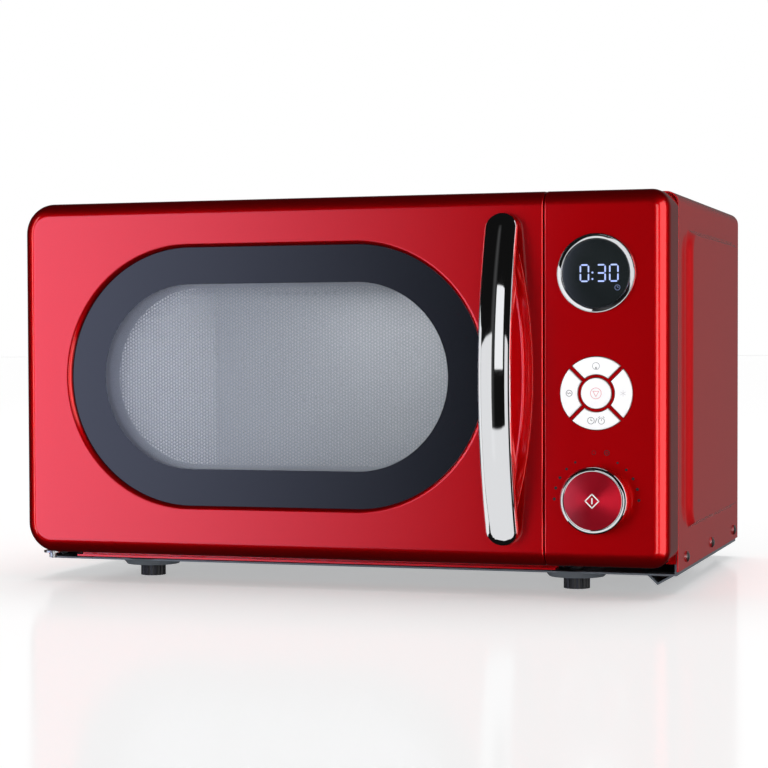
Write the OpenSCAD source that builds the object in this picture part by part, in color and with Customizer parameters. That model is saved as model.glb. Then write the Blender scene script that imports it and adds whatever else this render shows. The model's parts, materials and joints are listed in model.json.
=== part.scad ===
// Retro countertop microwave oven, side-hinged door, digital control panel.
// +X is the user's right, the door faces -Y, +Z is up and the feet stand on z = 0.

/* [Cabinet] */
// Width across the painted front
front_w = 440; // [436:1:444]
// Height of the painted front
front_h = 236; // [234:1:238]
// Thickness of the door and of the control panel
front_t = 36; // [35:1:38]
// Radius of the rolled edge round the front
edge_r = 11; // [10:0.5:12]
// Radius of the front's four corners
corner_r = 18; // [16:0.5:19]
// Depth of the wrapper behind the front
case_d = 263; // [260:1:266]
// Height that the pressed panel on each side stands out
emboss_h = 4; // [3:0.5:5]
// Thickness of the cabinet sheet metal
sheet = 1.2; // [1:0.1:1.4]

/* [Door] */
// Width of the door
door_w = 361; // [359:1:362]
// Radius of the window's round ends
glass_r = 85.5; // [83:0.5:86]
// Distance between the centres of the window's round ends
glass_run = 116; // [112:1:118]
// Radius of the perforated area's round ends
screen_r = 60; // [56:1:62]
// Width of the handle
handle_w = 21; // [19:0.5:22]
// How far the handle stands out of the door
handle_out = 30; // [27:1:32]

/* [Controls] */
// Radius of the display's chrome ring
bezel_r = 24.9; // [24:0.1:25.5]
// Radius of the button pad
pad_r = 22.8; // [21:0.1:23.5]
// Radius of the knob's chrome ring
knob_r = 21.2; // [19:0.1:22]

/* [Turntable] */
// Radius of the glass tray
tray_r = 118; // [112:1:119]
// Radius of each roller
roller_r = 7; // [6.5:0.1:7.2]

/* [Hidden] */
roll_step = 3; // extra wall thickness under the rolled edge
roll_depth = 8; // depth that the extra thickness reaches
low_bush_z = [26, 31.5];
$fn = 64;
half_w = front_w / 2;
foot_h = 8;
front_z0 = 19;
front_z1 = front_z0 + front_h;
front_mid = (front_z0 + front_z1) / 2;
face_y = -140;
door_back = face_y + front_t - 0.5;
case_y0 = face_y + front_t + 1;
case_y1 = case_y0 + case_d;
plate_y = case_y0 + sheet;
wrap_z0 = 14.2;
wrap_z1 = front_z1 + 0.4;
wrap_r = 8;
door_x1 = door_w - half_w;
panel_x0 = door_x1 + 0.7;
skin = 3;
play = 0.3;
fit_play = 0.05;

// oven chamber
chamber_x = [-194, 106];
chamber_z = [38, 238];
chamber_y1 = 150;
chamber_t = 1;
turn_x = -44;
turn_y = 26;
floor_z = chamber_z[0];

// door furniture
glass_x = -41;
glass_z = 138.3;
glass_t = 3.5;
glass_seat = 3.5;
rim_r = 89.5;
screen_y = -119;
cover_t = 2.5;
hinge_x = -209;
hinge_y = -119;
pin_r = 3;
bush_r = 5;
handle_x = 116;
handle_z = [32, 241.6];
handle_t = 8;
scoop_x = 121.5;
scoop_half = 12.5;
scoop_tall = 92;
scoop_z = 139;
scoop_d = 9;
latch_x = 124;
latch_z = [104, 176];
latch_lift = 4.5;

// controls
ctl_x = 174.9;
display_z = 203;
pad_z = 128.3;
knob_z = 62;
stop_r = 9.6;
hub_r = 11.8;
rib_w = 2.6;
board_y = -122;
board_t = 1.6;
press = 1;

// component bay and underside
bay_x = 163;
tray_z = floor_z + 2 * roller_r + 0.6;
axle_z = floor_z + roller_r + 0.15;
track_r = 97.5;
base_z = 11.5;
foot_x = 150;
foot_y = [-82, 128];
screw_y = [-72, 33, 138];
screw_z = 21.5;
fan_z = 177;
fan_r = 42;
fan_y = 120;
cord_x = 188;
cord_z = 34;
cord_r = 4;

// ---- shared shapes ----

// box from its lowest corner to its highest
module block(a, b) { translate(a) cube(b - a); }

// round bar between two y values
module bar_y(x, z, r, y0, y1) {
    translate([x, y0, z]) rotate([-90, 0, 0]) cylinder(r = r, h = y1 - y0);
}

// round bar between two x values
module bar_x(y, z, r, x0, x1) {
    translate([x0, y, z]) rotate([0, 90, 0]) cylinder(r = r, h = x1 - x0);
}

// round bar between two z values
module bar_z(x, y, r, z0, z1) { translate([x, y, z0]) cylinder(r = r, h = z1 - z0); }

// outline in the x-z plane, given depth from y0 to y1
module from_front(y0, y1) {
    translate([0, y1, 0]) rotate([90, 0, 0]) linear_extrude(y1 - y0) children();
}

// outline in the y-z plane, given width from x0 to x1
module from_side(x0, x1) {
    translate([x0, 0, 0]) rotate([90, 0, 90]) linear_extrude(x1 - x0) children();
}

// rectangle with round corners, by its lowest and highest corner
module round_rect(a, b, r) {
    translate([a[0] + r, a[1]]) square([b[0] - a[0] - 2 * r, b[1] - a[1]]);
    translate([a[0], a[1] + r]) square([b[0] - a[0], b[1] - a[1] - 2 * r]);
    for (x = [a[0] + r, b[0] - r], z = [a[1] + r, b[1] - r]) translate([x, z]) circle(r);
}

// the window's outline: a bar with two round ends
module window_2d(r) {
    translate([glass_x - glass_run / 2, glass_z - r]) square([glass_run, 2 * r]);
    for (s = [-1, 1]) translate([glass_x + s * glass_run / 2, glass_z]) circle(r);
}

// sloping rim cut: the window's outline narrowing from r0 at y0 to r1 at y1
module window_flare(r0, r1, y0, y1) {
    for (s = [-1, 1]) translate([glass_x + s * glass_run / 2, y0, glass_z])
        rotate([-90, 0, 0]) cylinder(r1 = r0, r2 = r1, h = y1 - y0);
    from_side(glass_x - glass_run / 2, glass_x + glass_run / 2)
        polygon([[y0, glass_z - r0], [y1, glass_z - r1], [y1, glass_z + r1], [y0, glass_z + r0]]);
}

// pointed oval scoop outline behind the handle, grown by g
module scoop_2d(g) {
    big = (scoop_tall * scoop_tall + scoop_half * scoop_half) / (2 * scoop_half);
    intersection() {
        translate([scoop_x + scoop_half - big, scoop_z]) circle(big + g, $fn = 256);
        translate([scoop_x - scoop_half + big, scoop_z]) circle(big + g, $fn = 256);
    }
}

// solid outer form shared by door and control panel, with its rolled front edge
module front_form() {
    hull() for (x = [-1, 1] * (half_w - corner_r), z = [front_z0 + corner_r, front_z1 - corner_r])
        translate([x, 0, z]) rotate([90, 0, 0]) {
            translate([0, 0, -face_y - edge_r]) rotate_extrude($fn = 40) intersection() {
                translate([corner_r - edge_r, 0]) circle(edge_r, $fn = 40);
                square([corner_r + edge_r, edge_r]);
            }
            translate([0, 0, -door_back]) cylinder(r = corner_r, h = front_t - edge_r - 0.5, $fn = 40);
        }
}

// hollow behind the panel's skin, narrower under the rolled edge
module panel_hollow(x0, x1, y0) {
    from_front(y0, face_y + roll_depth + 0.01)
        round_rect([x0, front_z0 + skin + roll_step], [x1 - roll_step, front_z1 - skin - roll_step],
            corner_r - skin - roll_step);
    from_front(face_y + roll_depth, face_y + front_t + 3)
        round_rect([x0, front_z0 + skin], [x1, front_z1 - skin], corner_r - skin);
}

// domed panel screw with its shank along -Z, head on z = 0
module screw(head_r, shank_r, length) {
    translate([0, 0, -length]) cylinder(r = shank_r, h = length);
    intersection() {
        translate([0, 0, -head_r * 0.9]) sphere(head_r * 1.5);
        cylinder(r = head_r, h = head_r);
    }
}

// ---- cabinet ----

// raised pressing on a side panel, from x = 0 outwards
module side_pressing(lift, shrink) {
    y0 = -79; y1 = 141; z0 = 39; z1 = 233;
    hull() {
        from_side(-sheet - 1, 0.001) round_rect([y0 + shrink, z0 + shrink], [y1 - shrink, z1 - shrink], 14, $fn = 40);
        from_side(0, lift) round_rect([y0 + 10, z0 + 4.4 + shrink / 2], [y1 - 10, z1 - 4.4 - shrink / 2], 10, $fn = 40);
    }
}

module cabinet_wrap() {
    color([0.72, 0.05, 0.1]) difference() {
        union() {
            from_front(case_y0, case_y1) difference() {
                union() {
                    round_rect([-half_w, wrap_z1 - 40], [half_w, wrap_z1], wrap_r);
                    translate([-half_w, wrap_z0]) square([front_w, wrap_z1 - wrap_z0 - 20]);
                }
                round_rect([-half_w + sheet, wrap_z1 - 40], [half_w - sheet, wrap_z1 - sheet], wrap_r - sheet);
                translate([-half_w + sheet, wrap_z0 - 1]) square([front_w - 2 * sheet, wrap_z1 - wrap_z0 - 20]);
            }
            translate([half_w, 0, 0]) side_pressing(emboss_h, 0);
            mirror([1, 0, 0]) translate([half_w, 0, 0]) side_pressing(emboss_h, 0);
        }
        translate([half_w - sheet, 0, 0]) side_pressing(emboss_h, sheet);
        mirror([1, 0, 0]) translate([half_w - sheet, 0, 0]) side_pressing(emboss_h, sheet);
        for (y = screw_y) bar_x(y, screw_z, 2 + fit_play, -half_w - 5, half_w + 5);
        for (row = [0:7], col = [0:1])
            block([-half_w - 6, 52 + col * 36, 146 + row * 9], [-half_w + 3, 80 + col * 36, 149.5 + row * 9]);
    }
}

module base_plate() {
    y0 = plate_y;
    y1 = case_y1 - 1.6;
    flange_x = half_w - sheet - 0.2;
    color([0.42, 0.45, 0.48]) difference() {
        union() {
            block([-flange_x, y0, base_z], [192, y1, base_z + sheet]);
            for (s = [-1, 1]) block([min(s * flange_x, s * (flange_x - sheet)), y0, base_z],
                [max(s * flange_x, s * (flange_x - sheet)), y1, 31]);
            // folded gutter along the right edge
            from_front(y0 + 14, y1) polygon([[191, base_z], [196, base_z], [204, 4], [flange_x, 12.4],
                [flange_x, 13.8], [204.2, 5.6], [196.6, base_z + sheet], [191, base_z + sheet]]);
            block([190, y0, base_z], [flange_x, y0 + 14, base_z + sheet]);
            // foot bosses
            for (x = [-1, 1] * foot_x, y = foot_y) translate([x, y, foot_h])
                cylinder(r1 = 18, r2 = 22, h = base_z + sheet - foot_h);
            // shallow pan under the chamber
            block([-110, -60, 8.8], [76, 112, base_z]);
        }
        for (x = [-1, 1] * foot_x, y = foot_y) bar_z(x, y, 3, foot_h - 1, base_z + 3);
        block([-108.8, -58.8, 10], [74.8, 110.8, base_z + 3]);
        for (y = screw_y) bar_x(y, screw_z, 2 + fit_play, -half_w - 5, half_w + 5);
        for (i = [0:6]) block([120, -50 + i * 8, base_z - 1], [176, -46.5 + i * 8, base_z + 3]);
    }
}

module rear_panel() {
    color([0.62, 0.64, 0.66]) from_front(case_y1 - 1.6, case_y1 - 0.4) difference() {
        round_rect([-half_w + 1.5, base_z + sheet], [half_w - 1.5, wrap_z1 - 1.5], wrap_r - 1.5);
        // intake louvres in front of the fan, kept inside its circle
        for (i = [-4:4]) let (h = sqrt(fan_r * fan_r - 81 * i * i * 1.02))
            translate([bay_x - h, fan_z + i * 9 - 2]) square([2 * h, 4]);
        translate([cord_x, cord_z]) circle(6);
        // exhaust louvres behind the chamber
        for (i = [0:5], j = [0:2]) translate([-150 + j * 46, 206 + i * 6]) square([38, 2.6]);
    }
}

module wall_spacers() {
    color([0.12, 0.12, 0.13]) for (x = [-185, 185]) {
        bar_y(x, 226, 7, case_y1 - 0.4, 166);
        bar_y(x, 226, 5, 166, 170);
    }
}

module cord_grommet() {
    color([0.1, 0.1, 0.1]) difference() {
        union() {
            bar_y(cord_x, cord_z, 5.9, case_y1 - 4, case_y1 + 4);
            bar_y(cord_x, cord_z, 8.5, case_y1 - 0.4, case_y1 + 2);
            bar_y(cord_x, cord_z, 8, case_y1 - 4, case_y1 - 1.6);
        }
        bar_y(cord_x, cord_z, cord_r, case_y1 - 5, case_y1 + 5);
    }
}

module feet() {
    ribs = 20;
    color([0.07, 0.07, 0.08]) for (x = [-1, 1] * foot_x, y = foot_y) translate([x, y, 0]) {
        linear_extrude(foot_h) polygon([for (i = [0:2 * ribs - 1])
            let (a = 180 * i / ribs, r = i % 2 == 0 ? 8.6 : 8.1) [r * cos(a), r * sin(a)]]);
        translate([0, 0, foot_h]) cylinder(r = 2.9, h = base_z + sheet - foot_h);
        translate([0, 0, base_z + sheet]) cylinder(r = 5, h = 2.5);
    }
}

module cabinet_screws() {
    color([0.8, 0.81, 0.83]) {
        for (s = [-1, 1], y = screw_y) translate([s * half_w, y, screw_z]) rotate([0, s * 90, 0])
            screw(3.6, 2, 7);
    }
}

// ---- chamber ----

module oven_cavity() {
    a = [chamber_x[0], chamber_z[0]];
    b = [chamber_x[1], chamber_z[1]];
    t = [chamber_t, chamber_t];
    color([0.78, 0.79, 0.8]) difference() {
        from_front(plate_y, chamber_y1 + chamber_t) round_rect(a - t, b + t, 9);
        from_front(plate_y - 1, chamber_y1) round_rect(a, b, 8);
        bar_z(turn_x, turn_y, 6, floor_z - 5, floor_z + 5);
        block([b[0] - 1, 14, 156], [b[0] + 3, 76, 200]);
        // lamp holes and steam outlet holes
        for (i = [-2:2], j = [-1:1]) bar_x(-52 + i * 5, 212 + j * 5, 1.6, b[0] - 1, b[0] + 3);
        for (i = [0:7], j = [0:2]) bar_y(-150 + i * 8, 200 + j * 8, 1.6, chamber_y1 - 1, chamber_y1 + 3);
    }
}

module front_plate() {
    color([0.66, 0.05, 0.09]) {
        from_front(case_y0, plate_y) difference() {
            union() {
                round_rect([-half_w + 1.6, 30], [half_w - 1.6, wrap_z1 - 1.6], wrap_r - 1.6);
                translate([-half_w + 1.6, front_z0 + 0.2]) square([front_w - 3.2, 60]);
                translate([-193.8, 14.4]) square([336.3, 20]);
            }
            round_rect([chamber_x[0], chamber_z[0]], [chamber_x[1], chamber_z[1]], 8);
            for (z = latch_z) translate([latch_x - 5, z - 9]) square([10, 22]);
            translate([hinge_x - 7, 239.6]) square([14, 2.8]);
            // room behind the control panel for its board and switches
            round_rect([panel_x0 + 8, 40], [half_w - 12, 236], 4);
        }
        block([-193.8, case_y0 - 9, 14.4], [142.5, case_y0, 15.6]);
    }
}

// hinge bracket arm with its tab behind the front plate
module hinge_arm(z0, z1, tab_z0, tab_z1) {
    bar_z(hinge_x, hinge_y, 6, z0, z1);
    block([hinge_x - 6, hinge_y, z0], [hinge_x + 6, plate_y + 1.5, z1]);
    block([hinge_x - 6, plate_y, tab_z0], [hinge_x + 6, plate_y + 1.5, tab_z1]);
}

module upper_hinge() {
    color([0.75, 0.76, 0.78]) {
        hinge_arm(240, 242, 226, 251);
        bar_z(hinge_x, hinge_y, pin_r, 230, 249);
    }
}

module lower_hinge() {
    color([0.75, 0.76, 0.78]) {
        hinge_arm(17.3, 18.6, 17.3, 34);
        bar_z(hinge_x, hinge_y, pin_r, 17, 30.5);
        bar_z(hinge_x, hinge_y, 2.4, 13.8, 17.3);
        // rivet that holds the bracket's foot
        translate([hinge_x + 3, -107, 17.3]) intersection() {
            sphere(2.6);
            translate([0, 0, -3]) cylinder(r = 3, h = 3);
        }
    }
}

module turntable_motor() {
    color([0.7, 0.71, 0.72]) difference() {
        union() {
            bar_z(turn_x, turn_y, 25, 20, floor_z - chamber_t);
            block([turn_x - 33, turn_y - 6, floor_z - 3], [turn_x + 33, turn_y + 6, floor_z - chamber_t]);
            block([turn_x + 20, turn_y - 9, 22], [turn_x + 32, turn_y + 9, 32]);
        }
        bar_z(turn_x, turn_y, 3 + fit_play, 27, floor_z + 1);
    }
}

module drive_coupler() {
    color([0.9, 0.9, 0.88]) {
        bar_z(turn_x, turn_y, 3, 27.3, floor_z + 3);
        bar_z(turn_x, turn_y, 9, floor_z + 1.2, floor_z + 12);
        for (i = [0:2]) translate([turn_x, turn_y, floor_z + 7]) rotate([0, 0, 120 * i])
            translate([0, -3, 0]) cube([19, 6, 5]);
    }
}

module glass_tray() {
    rim = tray_r;
    color([0.82, 0.9, 0.92, 0.55]) translate([turn_x, turn_y, tray_z]) {
        rotate_extrude($fn = 128) polygon([[0, 0], [rim - 16, 0], [rim - 5, 4], [rim, 10.5], [rim - 1.5, 11.5],
            [rim - 7.5, 7.5], [rim - 17, 4.6], [0, 4.6]]);
        for (i = [0:2]) rotate([0, 0, 60 + 120 * i]) translate([14, 0, -5.5]) cylinder(r = 3, h = 6);
    }
}

module roller_ring() {
    color([0.86, 0.86, 0.84]) translate([turn_x, turn_y, axle_z]) {
        rotate_extrude($fn = 128) polygon([[84, -3], [90, -3], [90, 3], [84, 3]]);
        for (i = [0:2]) rotate([0, 0, 90 + 120 * i]) {
            translate([88, 0, 0]) rotate([0, 90, 0]) cylinder(r = 2, h = 14.5);
            translate([102.2, 0, 0]) rotate([0, 90, 0]) cylinder(r = 3, h = 1.6);
        }
    }
}

// grooved roller on one of the ring's three axles
module roller(i) {
    color([0.93, 0.93, 0.91]) translate([turn_x, turn_y, axle_z]) rotate([0, 0, 90 + 120 * i])
        translate([track_r - 4, 0, 0]) rotate([0, 90, 0]) rotate_extrude() polygon([
            [2 + fit_play, 0], [roller_r - 0.6, 0], [roller_r, 0.8], [roller_r, 7.2],
            [roller_r - 0.6, 8], [2 + fit_play, 8]]);
}
module roller_1() { roller(0); }
module roller_2() { roller(1); }
module roller_3() { roller(2); }

// ---- power parts in the bay ----

module waveguide() {
    color([0.76, 0.77, 0.79]) difference() {
        block([chamber_x[1] + chamber_t, 5, 146], [134, 85, 211]);
        block([chamber_x[1], 6, 147], [133, 84, 210]);
        bar_x(45, 178, 9, 130, 140);
    }
}

module waveguide_cover() {
    color([0.8, 0.77, 0.66]) block([chamber_x[1] - 0.6, 8, 150], [chamber_x[1], 82, 206]);
}

module magnetron() {
    color([0.68, 0.69, 0.7]) {
        difference() {
            block([134, 8, 148], [182, 82, 208]);
            block([138, 7, 152], [178, 83, 204]);
        }
        bar_x(45, 178, 18, 138, 178);
        for (i = [0:7]) block([143 + i * 4, 13, 152], [143.8 + i * 4, 77, 204]);
        bar_x(45, 178, 7.5, 114, 134);
        block([182, 22, 156], [199, 68, 200]);
        block([186, 68, 168], [196, 80, 188]);
    }
}

module hv_transformer() {
    color([0.35, 0.28, 0.24]) {
        difference() {
            block([118, 24, base_z + sheet], [186, 88, base_z + sheet + 64]);
            for (x = [130, 158]) block([x, 20, 28], [x + 16, 92, 60]);
        }
        for (s = [0, 1]) block([130, 10 + s * 78, 26], [174, 24 + s * 78, 62]);
        block([112, 34, base_z + sheet], [192, 78, base_z + sheet + 2]);
    }
}

module hv_capacitor() {
    color([0.74, 0.75, 0.77]) {
        translate([0, 0, base_z + sheet]) linear_extrude(76) {
            translate([126, -42]) square([26, 32]);
            for (x = [126, 152]) translate([x, -26]) circle(16);
        }
        for (x = [130, 148]) block([x - 3, -27, 88.7], [x + 3, -26, 98]);
    }
}

module hv_diode() {
    color([0.12, 0.12, 0.13]) {
        bar_y(182, 24, 4, -40, -18);
        bar_z(182, -44, 5, base_z + sheet, base_z + sheet + 1.2);
        block([181, -44, base_z + sheet], [183, -38, 25]);
    }
}

module fan_shroud() {
    half = 46.5;
    y1 = case_y1 - 1.6;
    color([0.86, 0.86, 0.84]) difference() {
        block([bay_x - half, fan_y, fan_z - half], [bay_x + half, y1, fan_z + half]);
        bar_y(bay_x, fan_z, fan_r + 2, fan_y - 1, y1 + 1);
    }
}

module fan_motor() {
    color([0.55, 0.42, 0.3]) difference() {
        union() {
            block([bay_x - 24, fan_y - 22, fan_z - 18], [bay_x + 24, fan_y - 8, fan_z + 30]);
            block([bay_x - 13, fan_y - 28, fan_z + 12], [bay_x + 13, fan_y - 4, fan_z + 32]);
            bar_y(bay_x, fan_z, 9, fan_y - 26, fan_y - 3);
            for (s = [-1, 1]) {
                block([bay_x - 46, fan_y - 3, fan_z + s * 16 - 4], [bay_x + 46, fan_y, fan_z + s * 16 + 4]);
                for (x = [-18, 18]) bar_y(bay_x + x, fan_z + s * 16, 2.5, fan_y - 22, fan_y - 2);
            }
        }
        bar_y(bay_x, fan_z, 2 + fit_play, fan_y - 30, fan_y + 1);
    }
}

module fan_blade() {
    color([0.2, 0.2, 0.22]) translate([bay_x, 0, fan_z]) rotate([-90, 0, 0]) {
        translate([0, 0, fan_y - 30]) cylinder(r = 2, h = 46);
        translate([0, 0, fan_y + 6]) cylinder(r = 12, h = 18);
        for (i = [0:4]) rotate([0, 0, 72 * i]) translate([24.5, 0, fan_y + 15]) rotate([32, 0, 0])
            cube([32, 24, 1.4], center = true);
    }
}

module cavity_lamp() {
    color([0.93, 0.9, 0.8]) {
        // socket plate hung from a bent strap, with the round-ended bulb facing the chamber wall
        translate([110, -52, 212]) rotate([0, 90, 0]) rotate_extrude() polygon([[0, 0], [4.5, 0.8], [7.4, 3.4],
            [8.2, 7], [7.4, 10.6], [5.6, 13], [5.6, 22.5], [0, 22.5]]);
        block([132, -66, 200], [134, -38, 226]);
        block([chamber_x[1] + chamber_t, -66, 224.5], [132.5, -38, 226]);
    }
}

module thermal_cutouts() {
    color([0.15, 0.15, 0.16]) {
        bar_x(-40, 120, 9, chamber_x[1] + chamber_t, 114);
        for (s = [-1, 1]) block([114, -41 + s * 4, 116], [120, -40 + s * 4, 124]);
        bar_z(160, 45, 9, 208, 216);
        for (s = [-1, 1]) block([156, 44 + s * 4, 216], [164, 45 + s * 4, 222]);
    }
}

module noise_filter_board() {
    z0 = fan_z + 46.5;
    color([0.1, 0.35, 0.16]) {
        for (x = [124, 202]) bar_z(x, 139, 2.5, z0, z0 + 4);
        block([118, 124, z0 + 4], [208, 155, z0 + 5.6]);
        block([130, 130, z0 + 5.6], [150, 150, z0 + 20]);
        bar_z(168, 140, 9, z0 + 5.6, z0 + 16);
        block([184, 132, z0 + 5.6], [200, 138, z0 + 18]);
    }
}

module interlock_bracket() {
    color([0.88, 0.87, 0.82]) difference() {
        block([111, plate_y, 88], [135, plate_y + 30, 202]);
        for (z = latch_z) block([latch_x - 6, plate_y - 1, z - 10], [latch_x + 6, plate_y + 28, z + 14]);
        block([115, plate_y + 4, 120], [136, plate_y + 31, 160]);
    }
}

module interlock_switches() {
    y = plate_y + 30;
    color([0.1, 0.1, 0.11]) for (z = [96, 124, 172]) {
        block([113, y, z], [124, y + 16, z + 26]);
        for (i = [0:2]) block([116, y + 16, z + 4 + i * 8], [121, y + 22, z + 5 + i * 8]);
    }
}

// ---- control panel ----

module control_panel() {
    x0 = panel_x0;
    color([0.7, 0.03, 0.07]) difference() {
        union() {
            difference() {
                intersection() {
                    front_form();
                    block([x0, face_y - 1, 0], [half_w + 1, face_y + front_t + 2, 300]);
                }
                panel_hollow(x0 + skin, half_w - skin, face_y + skin);
            }
            for (x = [x0 + 7, half_w - 12], z = [48, 98, 226]) bar_y(x, z, 2.5, face_y + skin - 0.5, board_y);
        }
        bar_y(ctl_x, display_z, bezel_r - 2.5, face_y - 1, face_y + skin + 1);
        bar_y(ctl_x, pad_z, stop_r + play, face_y - 1, face_y + skin + 1);
        from_front(face_y - 1, face_y + skin + 1) for (i = [0:3]) pad_sector(i, play);
        bar_y(ctl_x, knob_z, 6, face_y - 1, face_y + skin + 1);
    }
}

// one of the four key outlines round the stop key, grown by g
module pad_sector(i, g) {
    translate([ctl_x, pad_z]) rotate(90 * i) difference() {
        intersection() {
            circle(pad_r + g);
            polygon([[0, 0], [40, 40], [40, -40]]);
        }
        circle(hub_r - g);
        for (s = [-1, 1]) rotate(45 * s) translate([0, -rib_w / 2 + g])
            square([40, rib_w - 2 * g]);
    }
}

// a key with its stem back to the switch
module pad_key(i) {
    a = 90 * i;
    color([0.8, 0.81, 0.83]) {
        from_front(face_y - 1, face_y + 6) pad_sector(i, 0);
        bar_y(ctl_x + 17 * cos(a), pad_z + 17 * sin(a), 2, face_y + 6, board_y - 3 - press - fit_play);
    }
}
module button_right() { pad_key(0); }
module button_top() { pad_key(1); }
module button_left() { pad_key(2); }
module button_bottom() { pad_key(3); }

module button_stop() {
    color([0.85, 0.86, 0.87]) {
        bar_y(ctl_x, pad_z, stop_r, face_y - 1.4, face_y + 6);
        bar_y(ctl_x, pad_z, 2, face_y + 6, board_y - 3 - press - fit_play);
    }
}

module tact_switches() {
    color([0.15, 0.15, 0.16]) for (p = [[0, 0], [17, 0], [0, 17], [-17, 0], [0, -17]]) {
        bar_y(ctl_x + p[0], pad_z + p[1], 1.7, board_y - 3, board_y - 1.5);
        block([ctl_x + p[0] - 3, board_y - 1.5, pad_z + p[1] - 3], [ctl_x + p[0] + 3, board_y, pad_z + p[1] + 3]);
    }
}

module display_bezel() {
    color([0.85, 0.86, 0.88]) difference() {
        union() {
            translate([ctl_x, face_y, display_z]) rotate([90, 0, 0])
                cylinder(r1 = bezel_r, r2 = bezel_r - 1.6, h = 2.6);
            bar_y(ctl_x, display_z, bezel_r - 2.5, face_y, face_y + skin);
        }
        bar_y(ctl_x, display_z, 21.2, face_y - 5, face_y + 5);
    }
}

module display_lens() {
    color([0.03, 0.03, 0.05, 0.9]) bar_y(ctl_x, display_z, 21.1, face_y - 1, face_y + 1.2);
}

module display_module() {
    color([0.1, 0.1, 0.12]) block([ctl_x - 19, face_y + 5, display_z - 11], [ctl_x + 19, board_y, display_z + 11]);
}

module control_board() {
    color([0.08, 0.35, 0.18]) block([panel_x0 + 4, board_y, 40], [half_w - 8, board_y + board_t, 238]);
}

module board_components() {
    y = board_y + board_t;
    color([0.2, 0.2, 0.22]) {
        block([152, y, 60], [170, y + 15, 84]);
        block([178, y, 58], [200, y + 15, 78]);
        block([180, y, 92], [208, y + 17, 122]);
        for (i = [0:2]) bar_y(158 + i * 14, 140, 5, y, y + 14);
        block([158, y, 170], [182, y + 3, 194]);
        block([150, y, 214], [200, y + 8, 222]);
    }
}

module rotary_encoder() {
    color([0.7, 0.71, 0.73]) difference() {
        union() {
            block([ctl_x - 7, board_y - 8, knob_z - 7], [ctl_x + 7, board_y, knob_z + 7]);
            bar_y(ctl_x, knob_z, 4.5, face_y + skin + 1.4, board_y - 8);
        }
        bar_y(ctl_x, knob_z, 3 + fit_play, face_y, board_y - 7);
        bar_y(ctl_x, knob_z, 5, board_y - 7, board_y - 0.8);
    }
}

module encoder_plunger() {
    color([0.9, 0.9, 0.88]) bar_y(ctl_x, knob_z, 4.5, board_y - 3.5, board_y - 2.3);
}

module encoder_shaft() {
    color([0.72, 0.73, 0.75]) bar_y(ctl_x, knob_z, 2.98, face_y - 7, board_y - 3.8);
}

module knob_skirt() {
    color([0.45, 0.02, 0.05]) difference() {
        bar_y(ctl_x, knob_z, 20.8, face_y - 8.6, face_y - 1.4);
        bar_y(ctl_x, knob_z, 3, face_y - 7, face_y);
        bar_y(ctl_x, knob_z, 17, face_y - 3.4, face_y);
    }
}

module knob_ring() {
    color([0.86, 0.87, 0.89]) difference() {
        translate([ctl_x, face_y - 8.6, knob_z]) rotate([90, 0, 0])
            cylinder(r1 = knob_r, r2 = 18.3, h = 3.4);
        bar_y(ctl_x, knob_z, 18, face_y - 13, face_y - 8);
    }
}

module knob_cap() {
    dome = 150;
    color([0.78, 0.05, 0.12]) intersection() {
        bar_y(ctl_x, knob_z, 18, face_y - 16, face_y - 8.6);
        translate([ctl_x, face_y - 13.3 + dome, knob_z]) sphere(dome, $fn = 200);
    }
}

// ---- door ----

module door_frame() {
    x1 = door_x1 - skin;
    color([0.8, 0.07, 0.14]) difference() {
        union() {
            difference() {
                intersection() {
                    front_form();
                    block([-half_w - 1, face_y - 1, 0], [door_x1, 0, 300]);
                }
                // the hollow leaves a solid block round each hinge bore
                difference() {
                    from_front(face_y + glass_seat, door_back + 1)
                        round_rect([-half_w + skin, front_z0 + skin], [x1, front_z1 - skin], corner_r - skin);
                    block([-half_w, -131, front_z0], [-201, -108, 34]);
                    block([-half_w, -131, 226], [-201, -108, front_z1]);
                }
            }
            // back wall of the handle scoop
            from_front(face_y + 3, face_y + scoop_d + 1.5) scoop_2d(1.5);
            // handle screw bosses
            for (z = handle_z_posts()) bar_y(handle_x, z, 5, face_y + 3, face_y + 9);
        }
        window_flare(rim_r, glass_r, face_y - 0.001, face_y + 3);
        from_front(face_y - 1, face_y + glass_seat + 1) window_2d(glass_r);
        from_front(face_y - 1, face_y + scoop_d) scoop_2d(0);
        for (z = handle_z_posts()) bar_y(handle_x, z, 2, face_y - 1, face_y + 10);
        // swing relief on the rear edge beside the hinge
        translate([0, 0, -10]) linear_extrude(300)
            polygon([[-half_w - 1, door_back - 7], [-half_w + 6.2, door_back + 0.2], [-half_w - 1, door_back + 1]]);
        // bush bores and the slot that the upper bracket swings in
        bar_z(hinge_x, hinge_y, pin_r + 0.6, front_z0 - 1, low_bush_z[0] + 0.1);
        bar_z(hinge_x, hinge_y, bush_r, low_bush_z[0], low_bush_z[1]);
        bar_z(hinge_x, hinge_y, bush_r, 229, 250);
        block([-half_w - 1, -131, 238.8], [-196, door_back + 1, 243.2]);
    }
}

function handle_z_posts() = [handle_z[0] + 9, handle_z[1] - 9];

module door_bushes() {
    color([0.93, 0.93, 0.9]) for (span = [low_bush_z, [229, 238.8], [243.2, 250]]) difference() {
        bar_z(hinge_x, hinge_y, bush_r, span[0], span[1]);
        bar_z(hinge_x, hinge_y, pin_r + fit_play, span[0] - 1, span[1] + 1);
    }
}

module door_glass() {
    y = face_y + glass_seat;
    color([0.16, 0.18, 0.2, 0.5]) from_front(y, y + glass_t) window_2d(89);
}

module door_screen() {
    color([0.72, 0.74, 0.76]) difference() {
        block([-200, screen_y, 32], [112, door_back - cover_t, 246]);
        block([-199, screen_y + 1, 33], [111, door_back, 245]);
    }
}

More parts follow.
